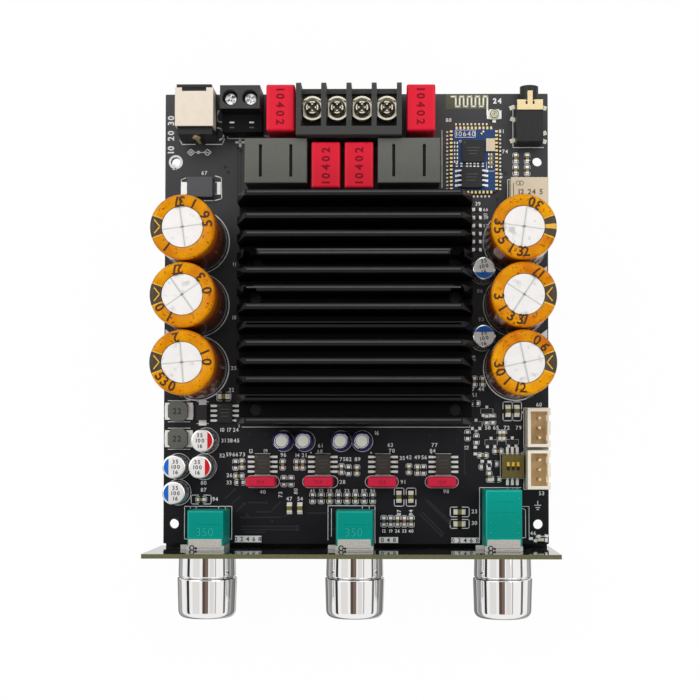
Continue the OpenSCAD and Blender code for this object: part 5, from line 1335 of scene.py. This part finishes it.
def print_chip_outlines(ink):
    for corners in BOXES:
        print_brackets(ink, *corners, BOX_LINE)
    for x, y in LONG_ROWS + TWO_CHIPS:
        print_brackets(ink, x - 0.78, y - 1.5, x + 0.78, y + 1.5, ROW_LINE)
    for x, y, z, turn in EXTRA_TAN + EXTRA_DARK + SMALL_CHIPS:
        wide, deep = (1.45, 0.75) if turn == 0 else (0.75, 1.45)
        print_brackets(ink, x - wide, y - deep, x + wide, y + deep, CHIP_LINE)
    for x in OPAMP_X:
        for side in SIDES:
            y = OPAMP_Y + side * 2.75
            ink.line([(x - SOIC_HALF, y), (x + SOIC_HALF, y)], INK_LINE)
        ink.disc(x - 3.1, OPAMP_Y + 3.0, 0.22, 12)
    for x, y in TRANSISTORS:
        for side in SIDES:
            outer, inner = x + side * 1.6, x + side * 0.7
            ink.line([(outer, y - 0.6), (outer, y + 0.7), (inner, y + 0.7)], ROW_LINE)
    for y in SUPPLY_COIL_Y:
        for side in SIDES:
            ink.line([(-48.9, y + side * 2.75), (-43.2, y + side * 2.75)], INK_LINE)


def print_can_outlines(ink):
    for x in RADIAL_X:
        ink.ring(x, RADIAL_Y, 2.72, 0.14)
    for x, y, facing, half, colour in SMALL_CANS:
        ink.ring(x, y, 3.35, 0.16)
        ink.ring(x, y, 3.3, 0.3, facing - 60, facing + 60, 24)
    # Rings under the bulk capacitors, filled on the stripe's side
    for number, (facing, cross, split, marks) in BULK_MARKS.items():
        middle = node_middle(f"bulk_sleeve_{number}")
        ink.ring(middle.x, middle.y, 8.36, 0.28, steps=96)
        ink.ring(middle.x, middle.y, 8.25, 0.42, facing - 70, facing + 70, 48)
    for number in (1, 2):
        y = (node_middle(f"bulk_sleeve_{number}").y + node_middle(f"bulk_sleeve_{number + 1}").y) / 2
        for side in SIDES:
            ink.shape([(side * 49.75, y - side * 1.9), (side * 47.3, y), (side * 49.75, y + side * 1.9)])
    ink.ring(*REAR_HOLE, 1.55, 0.56)


def print_part_outlines(ink):
    low, high = node_box("heatsink")
    ink.line([(low.x + 0.2, low.y - 0.65), (high.x - 0.2, low.y - 0.65)], INK_LINE)
    ink.line([(low.x - 0.6, low.y - 0.65), (low.x - 0.6, high.y)], INK_LINE)
    for x, length in TONE_OUTLINES:
        ink.stadium(x, -36.3, length, 3.1, INK_LINE)
    for width, paths in PRINTED_LINES.items():
        for path in paths:
            ink.line(path, width)
    for corners_and_width in PRINTED_FRAMES:
        ink.frame(*corners_and_width)
    ink.disc(-41.35, DIAMOND_Y, 0.42, 20)
    y = DIAMOND_Y
    for x in DIAMOND_X:
        ink.line([(x - 0.95, y), (x, y + 0.85), (x + 0.95, y), (x, y - 0.85), (x - 0.95, y)], 0.2)
        ink.line([(x - 0.35, y), (x + 0.35, y)], 0.2)
    for y in HEADER_Y:
        ink.frame(43.6, y - 5.2, 49.9, y + 5.2, INK_LINE)
        ink.shape([(43.0, y + 4.6), (43.0, y + 3.4), (43.5, y + 4.0)])


def print_boxed_numbers(ink):
    dark = Print(ink.height + INK_LIFT)
    for x0, y0, x1, y1, figures in BOX_LABELS:
        ink.fill(x0, y0, x1, y1)
        dark.digits(figures, (x0 + x1) / 2, (y0 + y1) / 2, 1.15)
    dark.piece("boxed_figures", "ink_dark")


TRACE = 0.35
TRACE_PATHS = (
    ((-33.9, -40.7), (-31.5, -38.4)), ((-32.1, -42.0), (-30.0, -40.1)), ((-30.9, -43.9), (-29.0, -42.0)),
    ((-29.9, -45.6), (-18.8, -45.5), (-17.2, -44.4)), ((-29.6, -47.9), (-15.2, -47.9)),
    ((-29.6, -48.7), (-15.2, -48.7)), ((-28.7, -49.4), (-23.6, -49.4)), ((-27.8, -41.7), (-23.3, -41.7)),
    ((-25.7, -44.1), (-21.8, -44.1)), ((18.1, -41.0), (24.3, -47.1)), ((18.8, -41.1), (24.3, -46.3)),
    ((-30.9, 22.0), (-30.9, -9.0)), ((32.1, 20.9), (36.8, 35.2), (36.8, 37.4)),
    ((38.0, 55.0), (38.0, 45.0), (39.0, 44.0)), ((-22.0, -44.0), (-19.6, -41.6)),
    ((-12.4, -44.4), (-6.8, -44.4)), ((16.6, -44.6), (22.2, -50.2)), ((17.4, -44.3), (22.8, -49.7)),
    ((-31.0, 38.2), (-31.0, 51.0)), ((-30.2, 38.2), (-30.2, 50.2)), ((36.4, -13.2), (36.4, -20.0)),
    ((37.2, -13.2), (37.2, -20.8)), ((37.4, -37.8), (46.0, -37.8)),
    ((24.6, -20.4), (28.2, -24.0), (28.2, -34.0)), ((-29.2, -14.8), (-29.2, -20.8)),
)
VIA_PLACES = (
    (-27.7, -24.0), (-23.2, -24.1), (-31.5, -38.4), (-29.0, -42.0), (-15.2, -47.9), (-15.2, -48.7),
    (-23.3, -41.7), (24.3, -47.1), (24.3, -46.3), (-6.8, -44.4), (22.2, -50.2), (36.4, -20.0),
    (37.2, -20.8), (28.2, -34.0), (-30.9, 22.0), (-30.9, -9.0), (36.8, 37.4), (39.0, 44.0), (-31.0, 51.0),
    (-30.2, 50.2), (-33.5, 44.6), (-34.3, 45.9), (19.2, -24.0), (26.4, -25.2), (-5.6, -48.6), (3.2, -45.6),
    (19.3, -36.0), (27.6, -37.6), (-43.2, -45.4), (-46.4, -45.9), (45.6, 47.0), (42.6, 50.0),
    (-28.2, -45.0), (-21.8, -46.6), (33.9, 13.0), (34.3, 7.0),
)


def add_board_printing():
    ink = print_on("main_board")
    print_labels(ink)
    print_chip_outlines(ink)
    print_can_outlines(ink)
    print_part_outlines(ink)
    print_boxed_numbers(ink)
    ink.piece("board_ink", "ink_white")
    traces = print_on("main_board", INK_LIFT / 2)
    for path in TRACE_PATHS:
        traces.line(path, TRACE)
    traces.piece("board_traces", "trace_mask")
    grow("board_vias", PLATED_HOLES, laid(VIA_PLACES, 0, TOP + 0.01), "trace_mask",
         outer=0.42, inner=0.17, thickness=0.03)


# Painted highlight: a pale line along the top of each fin

FIN_HIGHLIGHT = 0.42


def add_fin_highlights():
    mesh = NODES["heatsink"].data
    top = node_box("heatsink")[1].z
    lines = Print(top + INK_LIFT)
    rows = {}
    for face in mesh.polygons:
        middle = face.center / MM
        if face.normal.z > 0.9 and middle.z > top - 0.1:
            for index in face.vertices:
                point = mesh.vertices[index].co / MM
                rows.setdefault(round(middle.y / 2.0), []).append(point)
    for points in rows.values():
        left, right = min(q.x for q in points), max(q.x for q in points)
        near, far = min(q.y for q in points), max(q.y for q in points)
        middle = near + 0.62 * (far - near)
        lines.fill(left + 0.5, middle - FIN_HIGHLIGHT / 2, right - 0.5, middle + FIN_HIGHLIGHT / 2)
    lines.piece("fin_lines", "fin_line")


# Marks on the parts

# Middle of each film capacitor and the turn of its figures
FILM_MARKS = ((-18.825, 58.625, -90), (-7.35, 43.975, 90), (1.05, 43.975, 90), (16.725, 58.625, -90))
CHIP_HEIGHT = 1.35
# Marks on the power terminal's step, which slopes down to the front: name, depth, height over the board, look
STEP_MARKS = (("step_slits", 56.37, 5.415, "ink_white"), ("step_marks", 55.1, 5.302, "chip_mark"))
VOLUME_DOTS = ((34.1, -46.3), (41.1, -46.3), (34.1, -48.8), (41.1, -48.8), (41.3, -40.3))


def add_chip_marks():
    film, coil = print_on("film_capacitors"), print_on("supply_inductors")
    for x, y, turn in FILM_MARKS:
        film.digits("10402", x, y, 2.0, turn, weight=0.05, gap=0.24)
    film.piece("film_figures", "film_ink")
    chips = Print(TOP + CHIP_HEIGHT + INK_LIFT)
    for x, y in LEADED_CHIPS:
        mark_rows(chips, [(x - 1.2 + 0.2 * i, x + 1.2 - 0.2 * i, y + 1.0 - 0.9 * i) for i in range(3)], 0.2)
        chips.disc(x - 1.35, y + 1.9, 0.24, 16)
    chips.piece("chip_marks", "chip_mark")
    for y in SUPPLY_COIL_Y:
        coil.digits("22", SUPPLY_COIL_X, y, 1.5, weight=0.03)
    coil.piece("coil_figures", "groove_dark")


def add_terminal_marks():
    # Painted shade: a dark ring round each power screw, where its well lies in shade
    shade_rings = print_on("power_terminal_screws")
    for x in POWER_SCREW_X:
        shade_rings.ring(x, POWER_SCREW_Y, 1.54, 0.3, steps=40)
    shade_rings.piece("screw_rims", "ink_dark")
    for name, y, step_top, look in STEP_MARKS:
        slits = Print(TOP + step_top + INK_LIFT)
        for x in POWER_SCREW_X:
            slits.fill(x - 0.6, y - 0.2, x + 0.6, y + 0.2)
        slits.piece(name, look)
    # Painted glints: bright arcs on the speaker screws between the slots of their crosses
    screw_glints = print_on("speaker_terminal_screws")
    for x in SPEAKER_SCREW_X:
        for facing in (0, 90, 180, 270):
            screw_glints.ring(x, SPEAKER_SCREW_Y, 1.4, 0.32, facing - 27, facing + 27, 10)
            screw_glints.ring(x, SPEAKER_SCREW_Y, 0.82, 0.3, facing - 16, facing + 16, 6)
    screw_glints.piece("screw_lands", "screw_rim")


def add_tone_and_relay_marks():
    tone, relay = print_on("tone_capacitors"), print_on("relay")
    for x in TONE_X:
        tone.digits("104", x, TONE_Y, 1.0)
    tone.piece("tone_figures", "tone_ink")
    low, high = node_box("relay")
    x, y = (low.x + high.x) / 2, (low.y + high.y) / 2
    relay.digits("12 24 5", x + 0.2, y - 0.2, 1.35, weight=0.04)
    for shift in (-2.9, -2.1):
        relay.ring(x + shift, y + 2.0, 0.55, 0.16)
    relay.line([(low.x + 0.7, low.y + 0.8), (low.x + 0.7, high.y - 1.6)], 0.2)
    relay.piece("relay_figures", "relay_ink")


def add_control_marks():
    bracket = print_on("control_bushings")
    for name in KNOBS:
        low, high = node_box(f"{name}_control")
        x = (low.x + high.x) / 2
        case, glints = print_on(f"{name}_control"), print_on(f"{name}_control", 1.5 * INK_LIFT)
        if name == "volume":
            for px, py in VOLUME_DOTS:
                case.disc(px, py, 0.36, 20)
                glints.disc(px + 0.06, py + 0.06, 0.2, 16)
            for py in (-41.0, -43.6):
                case.line([(low.x + 1.6, py), (high.x - 1.6, py)], 0.12)
        else:
            case.digits("350", x - 0.2, low.y + 3.6, 2.2, weight=0.0)
            glints.digits("350", x - 0.13, low.y + 3.53, 2.2, weight=-0.03)
            case.line([(low.x + 2.2, low.y + 5.4), (high.x - 1.0, low.y + 5.4)], 0.14)
        glints.line([(low.x + 0.45, low.y + 1.9), (low.x + 0.45, high.y - 0.3)], 0.16)
        glints.line([(low.x + 0.5, high.y - 0.25), (high.x - 0.5, high.y - 0.25)], 0.16)
        case.piece(f"{name}_case_marks", "teal_deep")
        glints.piece(f"{name}_case_glints", "teal_pale")
        bracket.ring(x - 3.3, low.y - 0.45, 0.55, 0.3, steps=20)
        bracket.disc(x - 2.3, low.y - 0.6, 0.32, 16)
        bracket.line([(x - 4.2, low.y - 0.5), (x + 4.2, low.y - 0.5)], 0.08)
    bracket.piece("bracket_slots", "ink_dark")


# Underside: soldered leads and plain marks

CONTROL_JOINTS = {"treble": (-45.6,), "bass": (-45.6,), "volume": (-45.6, -41.4)}
JACK_JOINTS = ((-40.885, 55.4), (-40.885, 61.4), (-36.3, 58.4))
RELAY_JOINTS = (-3.3, -1.1, 1.1, 3.3)


def joint_places():
    """Places of the large and the small solder joints."""
    bulk = [node_middle(f"bulk_sleeve_{number}") for number in BULK_MARKS]
    large = [(middle.x + side * 3.75, middle.y) for middle in bulk for side in SIDES]
    large += [(x, 56.6) for x in SPEAKER_SCREW_X] + [(x, 60.4) for x in POWER_SCREW_X] + list(JACK_JOINTS)
    large += [(x + side * 5.6, COIL_Y) for x in COIL_X for side in SIDES]
    small = [(x, y + side * 5.0) for x, y, turn in FILM_MARKS for side in SIDES]
    small += [(x + side * 1.0, RADIAL_Y) for x in RADIAL_X for side in SIDES]
    small += [(x + side * 2.5, TONE_Y) for x in TONE_X for side in SIDES]
    small += [(47.1, y + 2.5 * i) for y in HEADER_Y for i in (-1, 0, 1)]
    for name, rows in CONTROL_JOINTS.items():
        x = node_middle(f"{name}_control").x
        small += [(x + 2.5 * i, y) for y in rows for i in (-1, 0, 1)]
    small += [(RELAY[0] + x, RELAY[1] + side * 2.5) for x in RELAY_JOINTS for side in SIDES]
    return large, small


def add_underside():
    large, small = joint_places()
    grow("large_joints", SOLDER_JOINTS, laid(large, 0, 0), "solder",
         radius=1.5, lead_radius=0.5, height=0.75, lead_length=1.3)
    grow("small_joints", SOLDER_JOINTS, laid(small, 0, 0), "solder",
         radius=0.85, lead_radius=0.28, height=0.5, lead_length=0.95)
    ink, traces = Print(-INK_LIFT), Print(-INK_LIFT / 2)
    for x, y in large:
        ink.ring(x, y, 2.0, 0.16, steps=32)
    for number in BULK_MARKS:
        middle = node_middle(f"bulk_sleeve_{number}")
        ink.ring(middle.x, middle.y, 7.9, 0.18, steps=72)
    ink.frame(-29.6, -21.3, 29.6, 36.1, 0.2)
    for i in range(7):
        near_x, far_x = -22 + 7 * i, -25 + 8 * i
        traces.line([(near_x, -22.4), (near_x, -27.0), (far_x, -30.0), (far_x, -43.0)], 0.4)
    for i, x in enumerate(SPEAKER_SCREW_X):
        traces.line([(x, 53.2), (-12.4 + 7.3 * i, 51.0), (-12.4 + 7.3 * i, 37.0)], 1.6)
    for marks, name, look in ((ink, "underside_ink", "ink_white"),
                              (traces, "underside_traces", "trace_mask")):
        marks.faces = [face[::-1] for face in marks.faces]
        marks.piece(name, look)


# Front of the panel: plain scale marks round each knob

SCALE_RADIUS = 9.2


def add_panel_scales():
    front = node_box("front_panel")[0].y
    scale = Print(0)
    for name in KNOBS:
        x = node_middle(f"{name}_knob").x
        for i in range(11):
            ends = SCALE_RADIUS - 0.6, SCALE_RADIUS + (0.7 if i % 5 == 0 else 0.3)
            scale.line([on_circle(x, KNOB_AXIS, r, 240 - 30 * i) for r in ends], 0.3)
    points = [(px, front - INK_LIFT, pz) for px, pz, level in scale.points]
    mesh_piece("panel_scales", points, scale.faces, "ink_white")


# Studio: pale floor, white surroundings, soft lamps

WHITE = (1, 1, 1, 1)
AMBIENT = 0.26
FLOOR_HALF = 1500
FLOOR_DROP = 0.1
FLOOR_TONE, GAP_SHADE_TONE = (0.9, 0.9, 0.9, 1), (0.012, 0.012, 0.012, 1)
# Share of the floor that shows as plain white, so that the rest can carry the object's shadow
FLOOR_GLOW = 0.97
# Painted shade: the floor is coloured dark and doesn't glow in the gap between board and panel: middle and
# half of it along Y, half along X
GAP_MIDDLE, GAP_HALF, GAP_REACH = -52.95, 0.8, 50.0


def seen_plainly(graph):
    """1 for rays from the camera, in mirrors and through clear things, which see plain white."""
    rays = graph.add("ShaderNodeLightPath").outputs
    seen = graph.math("MAXIMUM", rays["Is Camera Ray"], rays["Is Glossy Ray"])
    return graph.math("MAXIMUM", seen, rays["Is Transmission Ray"])


def add_world():
    world = bpy.data.worlds.new("studio")
    bpy.context.scene.world = world
    world.use_nodes = True
    graph = Graph(world.node_tree)
    background = world.node_tree.nodes["Background"].inputs
    strength = graph.add("ShaderNodeMix", {"Factor": seen_plainly(graph), "A": AMBIENT, "B": 1.0})
    graph.set(background["Color"], WHITE)
    graph.set(background["Strength"], strength.outputs["Result"])


def add_quad(name, corners, material):
    """A four-cornered sheet of the stage, in millimetres."""
    mesh = bpy.data.meshes.new(name)
    mesh.from_pydata([Vector(corner) * MM for corner in corners], [], [(0, 1, 2, 3)])
    mesh.materials.append(material)
    return put_in_scene(name, mesh)


def level_corners(left, front, right, rear, z):
    return [(left, front, z), (right, front, z), (right, rear, z), (left, rear, z)]


def mix_shaders(graph, share, first, second):
    return graph.add("ShaderNodeMixShader", {"Fac": share, 1: first, 2: second}).outputs["Shader"]


def floor_finish():
    material, graph, inputs = new_material("floor_white")
    nodes = material.node_tree.nodes
    axes = graph.axes()
    # Painted shade in the gap between board and panel
    along = graph.math("ABSOLUTE", graph.math("SUBTRACT", axes["Y"], GAP_MIDDLE * MM))
    before = graph.math("GREATER_THAN", along, GAP_HALF * MM)
    beside = graph.math("GREATER_THAN", graph.math("ABSOLUTE", axes["X"]), GAP_REACH * MM)
    clear_of_gap = graph.math("MAXIMUM", before, beside)
    graph.set(inputs["Roughness"], 0.9)
    graph.set(inputs["Base Color"], graph.mix(clear_of_gap, GAP_SHADE_TONE, FLOOR_TONE))
    share = graph.math("MULTIPLY", graph.math("MULTIPLY", seen_plainly(graph), FLOOR_GLOW), clear_of_gap)
    glow = graph.add("ShaderNodeEmission", {"Color": WHITE}).outputs["Emission"]
    surface = mix_shaders(graph, share, nodes["Principled BSDF"].outputs["BSDF"], glow)
    # From below the floor is clear, so that the underside can be looked at
    below = graph.add("ShaderNodeNewGeometry").outputs["Backfacing"]
    clear = graph.add("ShaderNodeBsdfTransparent").outputs["BSDF"]
    graph.set(nodes["Material Output"].inputs["Surface"], mix_shaders(graph, below, surface, clear))
    return material


def add_floor():
    low = CAD_BOX[0][2] / MM - FLOOR_DROP
    corners = level_corners(-FLOOR_HALF, -FLOOR_HALF, FLOOR_HALF, FLOOR_HALF, low)
    floor = add_quad("floor", corners, floor_finish())


# Name, place, target, size, power and whether mirrors show it, in metres
LAMPS = (
    ("left_box", (-0.5, 0.22, 0.6), (0, 0, 0), (0.5, 0.5), 2.0, True),
    ("right_box", (0.5, 0.2, 0.6), (0, 0, 0), (0.5, 0.5), 1.6, True),
    ("rear_box", (0.0, 0.55, 0.6), (0, 0, 0), (0.8, 0.4), 1.8, True),
    ("front_box", (0.05, -0.6, 0.55), (0, -0.03, 0), (0.8, 0.4), 2.4, False),
)


def add_lamps():
    for name, place, target, size, power, mirrored in LAMPS:
        data = bpy.data.lights.new(name, "AREA")
        data.shape = "RECTANGLE"
        data.size, data.size_y = size
        data.energy = power
        lamp = put_in_scene(name, data)
        lamp.location = place
        lamp.rotation_euler = (Vector(target) - Vector(place)).to_track_quat("-Z", "Y").to_euler()
        lamp.visible_camera = False
        lamp.visible_glossy = mirrored


# Cards that only mirrors see: strips over the knobs, by angle from straight above, half angle and colour
CARD_DISTANCE = 600
CARD_FRONT, CARD_REAR = -330, 5
CARDS = (
    (-9.5, 5.5, (0.12, 0.075, 0.055)), (2.0, 6.0, (0.2, 0.15, 0.13)), (-40.0, 14.0, (0.84, 0.83, 0.81)),
    (22.0, 9.0, (0.82, 0.8, 0.78)), (37.5, 2.5, (0.5, 0.5, 0.5)), (-74.0, 6.0, (0.04, 0.04, 0.04)),
    (78.0, 5.0, (0.16, 0.16, 0.16)), (-84.0, 3.0, (0.9, 0.9, 0.9)),
)
# On the floor a broad card and, just over it, strips beside each knob: from, to and tone
LOW_BASE = (-85.0, 85.0, 0.42)
LOW_CARDS = ((-18.0, -5.0, 0.22), (5.0, 9.0, 0.3), (9.0, 14.5, 0.6), (14.5, 19.4, 0.16))
LOW_FRONT, LOW_REAR = -110, -55


def add_card(name, corners, color):
    material, graph, inputs = new_material(name)
    glow = graph.add("ShaderNodeEmission", {"Color": rgba(color)}).outputs["Emission"]
    graph.set(material.node_tree.nodes["Material Output"].inputs["Surface"], glow)
    card = add_quad(name, corners, material)
    card.visible_camera = False
    card.visible_diffuse = False
    card.visible_shadow = False
    card.visible_transmission = False


def add_low_card(name, left, right, tone, height):
    add_card(name, level_corners(left, LOW_FRONT, right, LOW_REAR, height), (tone, tone, tone))


def add_cards():
    for count, (angle, half, color) in enumerate(CARDS):
        start, end = (on_circle(0, KNOB_AXIS, CARD_DISTANCE, 90 - angle + side * half) for side in (1, -1))
        corners = [(x, y, z) for (x, z), y in ((start, CARD_FRONT), (end, CARD_FRONT),
                                              (end, CARD_REAR), (start, CARD_REAR))]
        add_card(f"card_{count + 1}", corners, color)
    low = CAD_BOX[0][2] / MM + 0.05
    add_low_card("card_low", *LOW_BASE, low)
    for knob in KNOBS:
        x = node_middle(f"{knob}_knob").x
        for count, (start, end, tone) in enumerate(LOW_CARDS):
            add_low_card(f"card_{knob}_{count + 1}", x + start, x + end, tone, low + 0.1)


bpy.context.scene.view_settings.view_transform = "Standard"
add_camera()
add_world()
add_floor()
add_lamps()
add_cards()
dress_nodes()
paint_nodes()
add_bulk_capacitors()
add_small_cans()
add_radial_capacitors()
add_knobs()
add_chip_parts()
add_chip_pads()
add_radio_details()
add_antenna()
add_board_printing()
add_fin_highlights()
add_chip_marks()
add_terminal_marks()
add_tone_and_relay_marks()
add_control_marks()
add_underside()
add_panel_scales()
